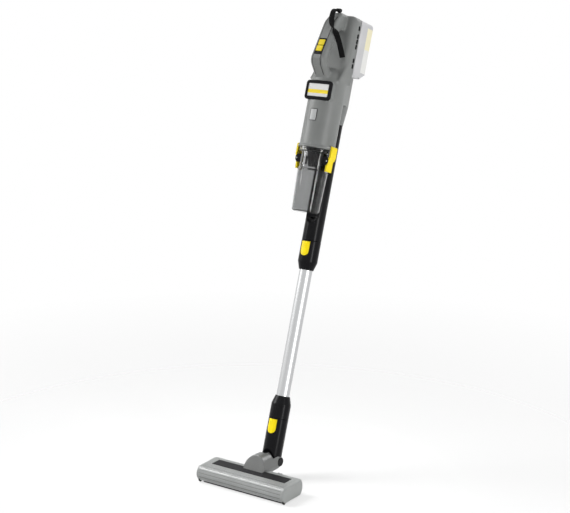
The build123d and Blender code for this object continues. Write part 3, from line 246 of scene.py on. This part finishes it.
def lined(name, dark, light, rough):
    """The floor head's plastic: as moulded, with fine grooves along its front and over the ridge; the
    grooves are bumped in and also darkened in colour, and their dark colour is painted shade.
    """
    made, tree, shader, where = new_material(name)
    grain = grained(tree, shader, where, rough, edge=SOFT_EDGE)
    tilted = tree.nodes.new("ShaderNodeMapping")
    tilted.inputs["Rotation"].default_value = (pi / 4, 0, 0)
    tree.links.new(where, tilted.inputs["Vector"])
    lines = waves(tree, tilted.outputs["Vector"], "Z", LINE_SCALE)
    groove = spread(tree, lines, 1.0, 0.0, start=0.0, end=LINE_SHARE)
    front = spread(tree, along_axis(tree, where, "Y"), 1.0, 0.0, *LINED_FRONT)
    groove_depth_and_shade = reckon(tree, "MULTIPLY", groove, front)
    # painted shade: the grooves' colour goes towards a share of the dark tone
    colour = mixed(tree, groove_depth_and_shade, clouded(tree, where, dark, light), [tone * LINE_PAINTED_SHADE for tone in dark])
    tree.links.new(colour, shader.inputs["Base Color"])
    step = relief(tree, shader, groove_depth_and_shade, strength=0.6, depth=0.0005)
    step.invert = True
    tree.links.new(grain.outputs["Normal"], step.inputs["Normal"])
    return made


def drawn_metal(name, dark, light, rough):
    """Drawn and polished tube with fine streaks along it."""
    made, tree, shader, where = new_material(name)
    streaks = noise(tree, where, scale=500.0, stretch=400.0)
    tree.links.new(toned(tree, streaks, dark, light), shader.inputs["Base Color"])
    tree.links.new(spread(tree, streaks, rough - 0.02, rough + 0.02), shader.inputs["Roughness"])
    shader.inputs["Metallic"].default_value = 1.0
    relief(tree, shader, streaks, strength=0.002, depth=0.0001)
    return made


FLOW_SHADE = 0.94


def clear(name, tint, rough):
    """Clear smoked plastic with faint flow marks."""
    made, tree, shader, where = new_material(name)
    flow = noise(tree, where, scale=12.0, detail=1.0, stretch=3.0)
    colour = toned(tree, flow, tint, [tone * FLOW_SHADE for tone in tint])
    tree.links.new(colour, shader.inputs["Base Color"])
    tree.links.new(spread(tree, flow, rough, rough + 0.03), shader.inputs["Roughness"])
    shader.inputs["Transmission Weight"].default_value = 1.0
    shader.inputs["IOR"].default_value = 1.3
    relief(tree, shader, flow, strength=0.005, depth=0.0003)
    return made


TOP_BAND = 50  # millimetres that the ramp goes on above the foot of the last band


def banded(name, bands):
    """Bare face in plain bands; each is its lower height up the stick in millimetres and its colour."""
    made, tree, shader, where = new_material(name)
    low = bands[0][0]
    reach = bands[-1][0] + TOP_BAND - low
    height = spread(tree, height_up(tree, where), 0.0, 1.0, height_of(low), height_of(low + reach))
    stops = [((t - low) / reach, tone) for t, tone in bands]
    tree.links.new(ramp(tree, height, stops, steps=True), shader.inputs["Base Color"])
    grained(tree, shader, where, rough=0.45, grain=900.0, strength=0.05, span=0.05, depth=0.0001)
    return made


GAP_SHADE_FADE = 0.1


def gap_shaded(name, dark, light, rim, rough, half_x, middle, half_t, edge):
    """Plate with a dark line along its edges, painted shade of the gap round it; its half sizes and middle
    up the stick are in millimetres.
    """
    made, tree, shader, where = new_material(name)
    across = (along_axis(tree, where, "X"), 0.0, half_x)
    along = (height_up(tree, where), height_of(middle), half_t)
    rims = []
    for value, centre, half in (across, along):
        far = reckon(tree, "ABSOLUTE", reckon(tree, "SUBTRACT", value, centre))
        rims.append(spread(tree, far, 0.0, 1.0, (half - edge - GAP_SHADE_FADE) / 1000, (half - edge) / 1000))
    colour = mixed(tree, reckon(tree, "MAXIMUM", *rims), clouded(tree, where, dark, light), rim)
    tree.links.new(colour, shader.inputs["Base Color"])
    grained(tree, shader, where, rough, strength=0.05)
    return made


def woven(name, dark, light, threads):
    """Woven webbing: ribs across and along the band, from the band's own map."""
    made, tree, shader, _ = new_material(name)
    band = tree.nodes.new("ShaderNodeUVMap").outputs["UV"]
    cloth = reckon(tree, "MULTIPLY", waves(tree, band, "X", threads), waves(tree, band, "Y", threads))
    tree.links.new(toned(tree, cloth, dark, light, start=0.05, end=0.9), shader.inputs["Base Color"])
    tree.links.new(spread(tree, cloth, 0.9, 0.62, start=0.0, end=1.0), shader.inputs["Roughness"])
    shader.inputs["Sheen Weight"].default_value = 0.02
    shader.inputs["Specular IOR Level"].default_value = 0.1
    relief(tree, shader, cloth, strength=0.6, depth=0.0004)
    return made


# Dark and light tone of each colour, or one tone for a plain band
GREY = ((0.176, 0.183, 0.178), (0.204, 0.212, 0.206))
# Painted light: the floor head, its end caps and the tail bracket get a lighter copy of the grey plastic,
# standing for the light and highlights on the head
HEAD_LIT_GREY = ((0.243, 0.252, 0.246), (0.278, 0.288, 0.283))
# Painted shade: the swivel nose and yoke get a darker copy of the grey plastic, for the shade and dark
# reflections on them
SWIVEL_SHADED_GREY = ((0.13, 0.134, 0.131), (0.16, 0.164, 0.161))
# Painted light: the hose is far lighter than the rubber, so that its ribs show light though they sit in
# shade
HOSE_LIT_GREY = ((0.13, 0.13, 0.13), (0.20, 0.20, 0.20))
WINDOW_GREY = ((0.40, 0.41, 0.41), (0.46, 0.47, 0.47))
BLACK = ((0.004, 0.004, 0.005), (0.008, 0.008, 0.009))
CHARCOAL = ((0.010, 0.010, 0.011), (0.016, 0.016, 0.017))
RUBBER = ((0.008, 0.008, 0.008), (0.016, 0.016, 0.016))
FILTER_BLACK = ((0.012, 0.012, 0.013), (0.030, 0.030, 0.032))
BRISTLE_BLACK = ((0.02, 0.02, 0.02), (0.05, 0.05, 0.05))
WEBBING_BLACK = ((0.003, 0.003, 0.003), (0.011, 0.011, 0.012))
YELLOW = ((0.90, 0.69, 0.002), (0.96, 0.75, 0.003))
TUBE_METAL = ((0.50, 0.505, 0.51), (0.56, 0.565, 0.57))
STEEL = ((0.48, 0.48, 0.48), (0.60, 0.60, 0.60))
MOTOR_METAL = ((0.44, 0.44, 0.45), (0.55, 0.55, 0.56))
CELL_BLUE = ((0.02, 0.10, 0.22), (0.03, 0.13, 0.28))
BOARD_GREEN = ((0.01, 0.09, 0.03), (0.02, 0.13, 0.05))
PACK_GREY = ((0.53, 0.53, 0.54), (0.60, 0.60, 0.61))
PACK_PALE = (0.76, 0.76, 0.74)
PACK_CREAM = (0.82, 0.77, 0.54)
LABEL_PALE = (0.74, 0.74, 0.72)
SMOKE = (0.50, 0.505, 0.505)
LABEL_BANDS = [(880, LABEL_PALE), (893, YELLOW[0]), (902, LABEL_PALE)]
PACK_BANDS = [(950, PACK_GREY[0]), (969, PACK_PALE), (1027, PACK_CREAM), (1080, PACK_GREY[0])]
# Painted shade: the dark lines along the edges of the window and the handle strip stand for the shade in the
# gaps round them
WINDOW_GAP_SHADE = {"half_x": 9.3, "middle": 841.0, "half_t": 14.3, "edge": 1.1}
STRIP_GAP_SHADE = {"half_x": 11.5, "middle": 1000.0, "half_t": 1000.0, "edge": 1.2}  # no line at the strip's ends
finishes = {
    "grey_plastic": moulded("grey_plastic_look", *GREY, rough=0.44),
    "black_plastic": moulded("black_plastic_look", *BLACK, rough=0.24, strength=0.05, gloss=0.1),
    "yellow_plastic": moulded("yellow_plastic_look", *YELLOW, rough=0.34, strength=0.06, gloss=0.3),
    "charcoal_plastic": moulded("charcoal_plastic_look", *CHARCOAL, rough=0.5, gloss=0.1),
    "bright_tube": drawn_metal("bright_tube_look", *TUBE_METAL, rough=0.33),
    "clear_plastic": clear("clear_plastic_look", SMOKE, rough=0.02),
    "window_plastic": gap_shaded("window_plastic_look", *WINDOW_GREY, CHARCOAL[0], rough=0.36, **WINDOW_GAP_SHADE),
    "label_face": banded("label_face_look", LABEL_BANDS),
    "pack_white": moulded("pack_white_look", *PACK_GREY, rough=0.46),
    "pack_cream": banded("pack_cream_look", PACK_BANDS),
    "rubber": moulded("rubber_look", *RUBBER, rough=0.58, grain=900.0, strength=0.2, gloss=0.3),
    "steel": moulded("steel_look", *STEEL, rough=0.32, grain=700.0, metal=1.0),
    "motor_metal": moulded("motor_metal_look", *MOTOR_METAL, rough=0.38, grain=700.0, metal=1.0),
    "cell_wrap": moulded("cell_wrap_look", *CELL_BLUE, rough=0.28, coat=0.4),
    "board": moulded("board_look", *BOARD_GREEN, rough=0.30, grain=500.0, coat=0.5),
    "filter_paper": moulded("filter_paper_look", *FILTER_BLACK, rough=0.85, grain=1200.0, strength=0.5),
    "bristle": moulded("bristle_look", *BRISTLE_BLACK, rough=0.50, grain=2600.0, strength=0.2, edge=0.0),
    "webbing": woven("webbing_look", *WEBBING_BLACK, threads=40.0),
}
# painted light: a lighter grey than the body's plastic, for the light on the head
head_lit_look = lined("head_lit_look", *HEAD_LIT_GREY, rough=0.29)
end_lit_look = moulded("end_lit_look", *HEAD_LIT_GREY, rough=0.40)
strip_look = gap_shaded("strip_look", *GREY, BLACK[1], rough=0.44, **STRIP_GAP_SHADE)
# painted shade: a darker grey than the body's plastic
swivel_shaded_look = moulded("swivel_shaded_look", *SWIVEL_SHADED_GREY, rough=0.27, strength=0.06)
# painted light: the hose's light grey stands for light catching its ribs
hose_lit_look = moulded("hose_lit_look", *HOSE_LIT_GREY, rough=0.25, grain=900.0, strength=0.05, edge=0.0)


def dress(piece, look):
    """Gives every material slot of a piece this look."""
    if not piece.material_slots:
        piece.data.materials.append(look)
    for place in piece.material_slots:
        place.material = look


for entry in frame["record"]["subparts"]:
    dress(nodes[entry["node"]], finishes[entry["material_slot"]])
dress(nodes["head_shell"], head_lit_look)
dress(nodes["handle_cover"], strip_look)
for name in ("swivel_nose", "swivel_yoke"):
    dress(nodes[name], swivel_shaded_look)
for name in ("end_cap_left", "end_cap_right", "tail_bracket"):
    dress(nodes[name], end_lit_look)


# Making of pieces
def put(name, data):
    """New object in the scene."""
    made = bpy.data.objects.new(name, data)
    bpy.context.scene.collection.objects.link(made)
    return made


def add_piece(name, mesh):
    """New object from a mesh, smooth all over."""
    mesh.polygons.foreach_set("use_smooth", [True] * len(mesh.polygons))
    return put(name, mesh)


def as_mesh(name, shape):
    """Mesh from a finished shape."""
    mesh = bpy.data.meshes.new(name)
    shape.to_mesh(mesh)
    shape.free()
    return mesh


def skin(name, rings, closed=True, ends=True):
    """Mesh over rings of points; closed joins each ring's last point to its first."""
    shape = bmesh.new()
    rows = [[shape.verts.new(p) for p in ring] for ring in rings]
    count = len(rows[0])
    for row, after in zip(rows, rows[1:]):
        for k in range(count if closed else count - 1):
            n = (k + 1) % count
            shape.faces.new((row[k], row[n], after[n], after[k]))
    if ends:
        shape.faces.new(reversed(rows[0]))
        shape.faces.new(rows[-1])
    bmesh.ops.recalc_face_normals(shape, faces=shape.faces)
    return as_mesh(name, shape)


def settled(piece):
    """Mesh of an object as its modifiers or its curve make it; the object itself is deleted."""
    bpy.context.view_layer.update()
    mesh = bpy.data.meshes.new_from_object(piece.evaluated_get(bpy.context.evaluated_depsgraph_get()))
    bpy.data.objects.remove(piece)
    return mesh


# Motor body: one skin over both halves, with the creases between its forms eased as in a moulding
SKIN_VOXEL = 0.0012
SKIN_ROUNDS = 40
EVEN_ROUNDS = 2  # over the whole skin, against the steps of the voxels
EASE_PULL = 0.5  # of the way to the neighbours' middle in each round
SKIN_SHARE = 0.3  # of the faces that are kept
SAME_SPOT = 0.00005
ON_SEAM = 0.00001
BORE_R = 0.024
BORE_T = (0.833, 0.906)
LIP_MORE = 0.003  # thickness added on the hidden side, inside the duct's own wall
# Where easing sets in, in millimetres: x is sideways, v forward of the stick and t up it
ABOVE_BARREL_T = (908, 918)
OFF_STRIP_X = (12, 17)
BEFORE_VENTS_V = (40, 46)
BEFORE_PACK_V = (27, 32)
BELOW_PACK_T = (958, 966)
OFF_BORE = (27, 31)
MOTOR_V = 51
OFF_MOTOR = (38, 40)
ABOVE_MOTOR_T = (926, 930)
BEHIND_LABEL_V = (76, 80)
ABOVE_LABEL_T = (928, 934)
SCREWS_VT = [(80, 937), (113, 968)]
OFF_SCREW = (6, 10)
OTHER_HALF_X = (-2, 0)  # the screw heads are on the left


def rising(values, start, end):
    """0 before the start, 1 after the end and even between them."""
    return np.clip((values - start) / (end - start), 0, 1)


def falling(values, start, end):
    """1 before the start, 0 after the end and even between them."""
    return rising(-values, -end, -start)


def body_share(points):
    """How far each point of the motor body may be eased, from 0 to 1."""
    from_pivot = (points - np.array(PIVOT)) * 1000
    x, v, t = from_pivot[:, 0], from_pivot @ np.array(FRONT), from_pivot @ np.array(UP)
    share = rising(t, *ABOVE_BARREL_T) * rising(np.abs(x), *OFF_STRIP_X)
    share *= np.maximum(rising(v, *BEFORE_VENTS_V), rising(v, *BEFORE_PACK_V) * falling(t, *BELOW_PACK_T))
    share *= rising(np.hypot(x, v), *OFF_BORE)
    share *= np.maximum(rising(np.hypot(x, v - MOTOR_V), *OFF_MOTOR), rising(t, *ABOVE_MOTOR_T))
    share *= np.maximum(falling(v, *BEHIND_LABEL_V), rising(t, *ABOVE_LABEL_T))
    for screw_v, screw_t in SCREWS_VT:
        from_screw = np.hypot(v - screw_v, t - screw_t)
        share *= np.maximum(rising(from_screw, *OFF_SCREW), rising(x, *OTHER_HALF_X))
    return share


def full_share(points):
    """The whole share for each point, where a skin is eased all over."""
    return np.ones(len(points))


def ease(mesh, share_of, rounds):
    """Moves each point towards its neighbours' middle, as far as its share allows."""
    points = np.empty(len(mesh.vertices) * 3)
    mesh.vertices.foreach_get("co", points)
    points = points.reshape(-1, 3)
    pairs = np.empty(len(mesh.edges) * 2, int)
    mesh.edges.foreach_get("vertices", pairs)
    first, second = pairs.reshape(-1, 2).T
    count = np.bincount(pairs, minlength=len(points))
    pull = EASE_PULL * share_of(points)
    for _ in range(rounds):
        for axis in range(3):
            near = np.bincount(first, points[second, axis], len(points))
            near += np.bincount(second, points[first, axis], len(points))
            points[:, axis] += pull * (near / count - points[:, axis])
    mesh.vertices.foreach_set("co", points.ravel())
    mesh.update()


both = bmesh.new()
for half in ("housing_left", "housing_right"):
    both.from_mesh(nodes[half].data)
seam = [face for face in both.faces if all(abs(corner.co.x) < ON_SEAM for corner in face.verts)]
bmesh.ops.delete(both, geom=seam, context="FACES")
bmesh.ops.remove_doubles(both, verts=both.verts, dist=SAME_SPOT)
for corner in both.verts:
    from_pivot = corner.co - PIVOT
    off_axis = from_pivot - UP * from_pivot.dot(UP)
    in_bore = BORE_T[0] < from_pivot.dot(UP) < BORE_T[1]
    if in_bore and abs(off_axis.length - BORE_R) < SAME_SPOT:
        corner.co -= off_axis * (LIP_MORE / BORE_R)
rough_skin = add_piece("rough_skin", as_mesh("housing_skin", both))
remesh = rough_skin.modifiers.new("remesh", "REMESH")
remesh.mode = "VOXEL"
remesh.voxel_size = SKIN_VOXEL
skin_mesh = settled(rough_skin)
ease(skin_mesh, body_share, SKIN_ROUNDS)
ease(skin_mesh, full_share, EVEN_ROUNDS)
full_skin = add_piece("full_skin", skin_mesh)
full_skin.modifiers.new("fewer", "DECIMATE").ratio = SKIN_SHARE
housing = add_piece("housing_skin", settled(full_skin))
dress(housing, finishes["grey_plastic"])
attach(housing, "machine")
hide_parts("housing_left", "housing_right")

# Ribbed hose: a bend from the yoke's bore up into the neck
HOSE_START = 0.034
HOSE_END = 0.048
HOSE_TUCK = 0.004  # of plain hose before the bend
HOSE_R = 0.013
HOSE_GROOVE_R = 0.0114
HOSE_RIBS = 12
HOSE_STEPS = 10
HOSE_SIDES = 48
RIB_FULLNESS = 0.6  # below 1 makes the ribs blunter
hose_turn = pi / 2 - LEAN
hose_bend = HOSE_START * sin(hose_turn) / (1 - cos(hose_turn))
hose_centre = Vector((0, PIVOT.y - HOSE_START, PIVOT.z + hose_bend))


def hose_ring(centre, heading, radius):
    """Ring of points square to the hose."""
    rise = heading.cross(SIDE)
    turns = [2 * pi * k / HOSE_SIDES for k in range(HOSE_SIDES)]
    return [centre + (SIDE * cos(a) + rise * sin(a)) * radius for a in turns]


hose_rings = [hose_ring(hose_centre + Vector((0, -HOSE_TUCK, -hose_bend)), Vector((0, 1, 0)), HOSE_GROOVE_R)]
for step in range(HOSE_RIBS * HOSE_STEPS + 1):
    a = hose_turn * step / (HOSE_RIBS * HOSE_STEPS)
    swell = 0.5 - 0.5 * cos(2 * pi * step / HOSE_STEPS)
    radius = HOSE_GROOVE_R + (HOSE_R - HOSE_GROOVE_R) * swell ** RIB_FULLNESS
    middle = hose_centre + Vector((0, sin(a), -cos(a))) * hose_bend
    hose_rings.append(hose_ring(middle, Vector((0, cos(a), sin(a))), radius))
hose_rings.append(hose_ring(PIVOT + UP * HOSE_END, UP, HOSE_GROOVE_R))
hose = add_piece("ribbed_hose", skin("ribbed_hose", hose_rings))
dress(hose, hose_lit_look)
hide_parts("neck_hose")
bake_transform(hose)

# Bristles: short filaments in tufts, in rows that wind round the brush roller
BRUSH_Y = -0.035
BRUSH_Z = 0.018
TUFT_ROWS = 4
TUFTS = 72
FILAMENTS = 9
FILAMENT_LONG = 0.0085
FILAMENT_SIDES = 3
FILAMENT_TURN = 2.4  # radians from one filament of a tuft to the next
TUFT_R = 0.0011
TUFT_END = 0.001  # from the roller's end to the first tuft
TIP_UNEVEN = 0.0005
ROOT_FAN, ROOT_THICK = 0.7, 0.00035
TIP_FAN, TIP_THICK = 1.6, 0.00022
ROW_TURN = radians(160)
tip_low, tip_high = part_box("brush_bristles")
tip_r = (tip_high.z - tip_low.z) / 2
root_r = tip_r - FILAMENT_LONG
brush_long = tip_high.x - tip_low.x


def filament_ring(x, turn, radius, thick):
    """Corners of a filament where it is a radius away from the brush's axis."""
    middle = Vector((x, BRUSH_Y, BRUSH_Z)) + Vector((0, cos(turn), sin(turn))) * radius
    across = Vector((0, -sin(turn), cos(turn)))
    corners = [2 * pi * c / FILAMENT_SIDES for c in range(FILAMENT_SIDES)]
    return [middle + (across * cos(c) + SIDE * sin(c)) * thick for c in corners]


def add_filament(shape, x, around, k, reach):
    """Adds filament k of the tuft at this place; it leans out from the tuft's middle."""
    off_middle = TUFT_R * (k / FILAMENTS) ** 0.5
    lean_x = off_middle * cos(FILAMENT_TURN * k)
    lean_a = off_middle * sin(FILAMENT_TURN * k)
    ends = []
    for radius, fan, thick in ((root_r, ROOT_FAN, ROOT_THICK), (reach, TIP_FAN, TIP_THICK)):
        ring = filament_ring(x + lean_x * fan, around + lean_a * fan / radius, radius, thick)
        ends.append([shape.verts.new(p) for p in ring])
    root, tip = ends
    for c in range(FILAMENT_SIDES):
        n = (c + 1) % FILAMENT_SIDES
        shape.faces.new((root[c], root[n], tip[n], tip[c]))
    shape.faces.new(tip)
    shape.faces.new(reversed(root))


brush = bmesh.new()
for row in range(TUFT_ROWS):
    for tuft in range(TUFTS):
        share = tuft / (TUFTS - 1)
        tuft_x = tip_low.x + TUFT_END + (brush_long - 2 * TUFT_END) * share
        around = 2 * pi * row / TUFT_ROWS + ROW_TURN * share
        for k in range(FILAMENTS):
            short = ((k * 7 + tuft * 5 + row * 3) % 9) / 8  # scattered from 0 to 1
            add_filament(brush, tuft_x, around, k, tip_r - TIP_UNEVEN * short)
bmesh.ops.recalc_face_normals(brush, faces=brush.faces)
bristles = add_piece("bristle_tufts", as_mesh("bristle_tufts", brush))
dress(bristles, finishes["bristle"])
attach(bristles, "brush")
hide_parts("brush_bristles")

# Wrist strap: a folded band of webbing that follows the route of the part's own strap
STRAP_ROUTE = [
    (0, 71, 1103.5), (0, 82, 1103.5), (1.5, 93, 1094.5), (5, 100, 1078), (13, 106, 1060), (25, 101, 1043),
    (30, 89, 1025), (32.5, 77, 1007.5), (34.5, 67, 990),
]
STRAP_WIDTH = 0.013
STRAP_THICK = 0.0011
STRAP_APART = 0.0008  # from the middle to each layer
FOLD_STEPS = 8
TWIST = pi
TWIST_SHARES = (0.34, 0.66)  # of the route
BAND = [  # one layer's outline, in shares of its width and thickness
    (-0.5, -0.2), (-0.46, -0.5), (0.46, -0.5), (0.5, -0.2),
    (0.5, 0.2), (0.46, 0.5), (-0.46, 0.5), (-0.5, 0.2),
]
route_curve = bpy.data.curves.new("strap_route", "CURVE")
route_curve.dimensions = "3D"
route_curve.resolution_u = 16
route = route_curve.splines.new("NURBS")
route.points.add(len(STRAP_ROUTE) - 1)
for knot, spot in zip(route.points, STRAP_ROUTE):
    knot.co = (*on_stick(*spot), 1)
route.order_u = 3
route.use_endpoint_u = True
route_mesh = settled(put("strap_route", route_curve))
strap_path = [v.co.copy() for v in route_mesh.vertices]
bpy.data.meshes.remove(route_mesh)


def eased(share, start, end):
    """Smooth step from 0 to 1 between two shares."""
    share = min(max((share - start) / (end - start), 0), 1)
    return share * share * (3 - 2 * share)


headings = [(b - a).normalized() for a, b in zip(strap_path, strap_path[1:])]
headings.append(headings[-1])
run = [0.0]
for a, b in zip(strap_path, strap_path[1:]):
    run.append(run[-1] + (b - a).length)
flat_side = SIDE
down = []  # place, width direction and face direction along the band
for spot, heading, gone in zip(strap_path, headings, run):
    flat_side = (flat_side - heading * flat_side.dot(heading)).normalized()
    turn = Matrix.Rotation(TWIST * eased(gone / run[-1], *TWIST_SHARES), 3, heading)
    wide = turn @ flat_side
    down.append((spot, wide, wide.cross(heading)))
layers = [(spot + face * STRAP_APART, wide, face) for spot, wide, face in down]
last, wide, face = down[-1]
for k in range(1, FOLD_STEPS):
    a = pi * k / FOLD_STEPS
    out = face * cos(a) + headings[-1] * sin(a)
    layers.append((last + out * STRAP_APART, wide, out))
layers += [(spot - face * STRAP_APART, wide, -face) for spot, wide, face in reversed(down)]
strap_rings = []
for spot, wide, face in layers:
    strap_rings.append([spot + wide * (w * STRAP_WIDTH) + face * (h * STRAP_THICK) for w, h in BAND])
strap_mesh = skin("wrist_strap_band", strap_rings)
strap_run = run + [run[-1]] * (FOLD_STEPS - 1) + [2 * run[-1] - gone for gone in reversed(run)]
chart = strap_mesh.uv_layers.new(name="band")
for corner in strap_mesh.loops:
    ring, k = divmod(corner.vertex_index, len(BAND))
    chart.data[corner.index].uv = (BAND[k][0], strap_run[ring] / STRAP_WIDTH)
strap = add_piece("wrist_strap_band", strap_mesh)
dress(strap, finishes["webbing"])
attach(strap, "machine")
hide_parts("wrist_strap")

# Floor and surroundings
FLOOR_SIZE = 40.0
FLOOR_BELOW = 0.0003
FLOOR_CLEAR = 0.6
FLOOR_FADE = (0.5, 1.8)  # metres from the middle
FLOOR_TONES = ((0.93, 0.93, 0.93), (0.95, 0.95, 0.95))
AMBIENT = 0.35


def seen_rays(tree):
    """1 for rays of the camera and for those in mirrors and clear plastic, else 0."""
    rays = tree.nodes.new("ShaderNodeLightPath")
    seen = rays.outputs["Is Camera Ray"]
    for other in ("Is Glossy Ray", "Is Transmission Ray"):
        seen = reckon(tree, "MAXIMUM", seen, rays.outputs[other])
    return seen


def half_clear(name, dark, light):
    """Pale floor that shows some of what is behind it or below it, and far away all of it."""
    made, tree, shader, where = new_material(name)
    tone = toned(tree, noise(tree, where, scale=1.5, detail=3.0), dark, light)
    tree.links.new(tone, shader.inputs["Base Color"])
    shader.inputs["Roughness"].default_value = 0.9
    shader.inputs["Specular IOR Level"].default_value = 0.0
    away = tree.nodes.new("ShaderNodeVectorMath")
    away.operation = "LENGTH"
    tree.links.new(where, away.inputs[0])
    paler = spread(tree, away.outputs["Value"], FLOOR_CLEAR, 1.0, *FLOOR_FADE)
    through = tree.nodes.new("ShaderNodeBsdfTransparent")
    blend = tree.nodes.new("ShaderNodeMixShader")
    tree.links.new(reckon(tree, "MULTIPLY", paler, seen_rays(tree)), blend.inputs["Fac"])
    tree.links.new(shader.outputs["BSDF"], blend.inputs[1])
    tree.links.new(through.outputs["BSDF"], blend.inputs[2])
    tree.links.new(blend.outputs["Shader"], tree.nodes["Material Output"].inputs["Surface"])
    return made


floor_z = cad_box[0][2] - FLOOR_BELOW
floor_ends = (-FLOOR_SIZE, FLOOR_SIZE)
floor_points = [[Vector((x, y, floor_z)) for x in floor_ends] for y in floor_ends]
floor = add_piece("floor", skin("floor", floor_points, closed=False, ends=False))
dress(floor, half_clear("floor_look", *FLOOR_TONES))

world = bpy.data.worlds.new("studio")
bpy.context.scene.world = world
world.use_nodes = True
sky = world.node_tree
backdrop = sky.nodes["Background"]
backdrop.inputs["Color"].default_value = (1, 1, 1, 1)
sky.links.new(spread(sky, seen_rays(sky), AMBIENT, 1.0, start=0.0, end=1.0), backdrop.inputs["Strength"])
bpy.context.scene.view_settings.view_transform = "Standard"

# Light and camera
AIM = Vector((-0.0353, 0.1758, 0.5287))
HEAD_AIM = Vector((0.0, -0.04, 0.03))
CAMERA_SPOT = (2.0216, -2.7513, 1.4118)
FOCAL_LENGTH = 95.505
SENSOR_WIDTH = 36.0


def aim_at(thing, spot, aim):
    """Puts a lamp or the camera at a spot and turns it to its aim."""
    thing.location = spot
    thing.rotation_euler = (aim - thing.location).to_track_quat("-Z", "Y").to_euler()


for name, spot, aim, wide, high, power, cone in (
    ("key", (-3.0, -1.2, 2.1), AIM, 1.4, 1.4, 60.0, 180),
    ("strip", (2.6, -0.6, 0.85), AIM, 0.4, 1.6, 32.0, 180),
    ("ridge", (-1.45, -0.55, 2.13), HEAD_AIM, 0.9, 0.9, 2.2, 36),
    ("back", (0.9, 2.4, 2.4), AIM, 1.4, 1.4, 26.0, 180),
):
    lamp = bpy.data.lights.new(name, "AREA")
    lamp.shape = "RECTANGLE"
    lamp.size = wide
    lamp.size_y = high
    lamp.energy = power
    lamp.spread = radians(cone)
    aim_at(put(name, lamp), spot, aim)

lens = bpy.data.cameras.new("camera")
lens.sensor_fit = "HORIZONTAL"
lens.sensor_width = SENSOR_WIDTH
lens.lens = FOCAL_LENGTH
camera = put("camera", lens)
aim_at(camera, CAMERA_SPOT, AIM)
bpy.context.scene.camera = camera
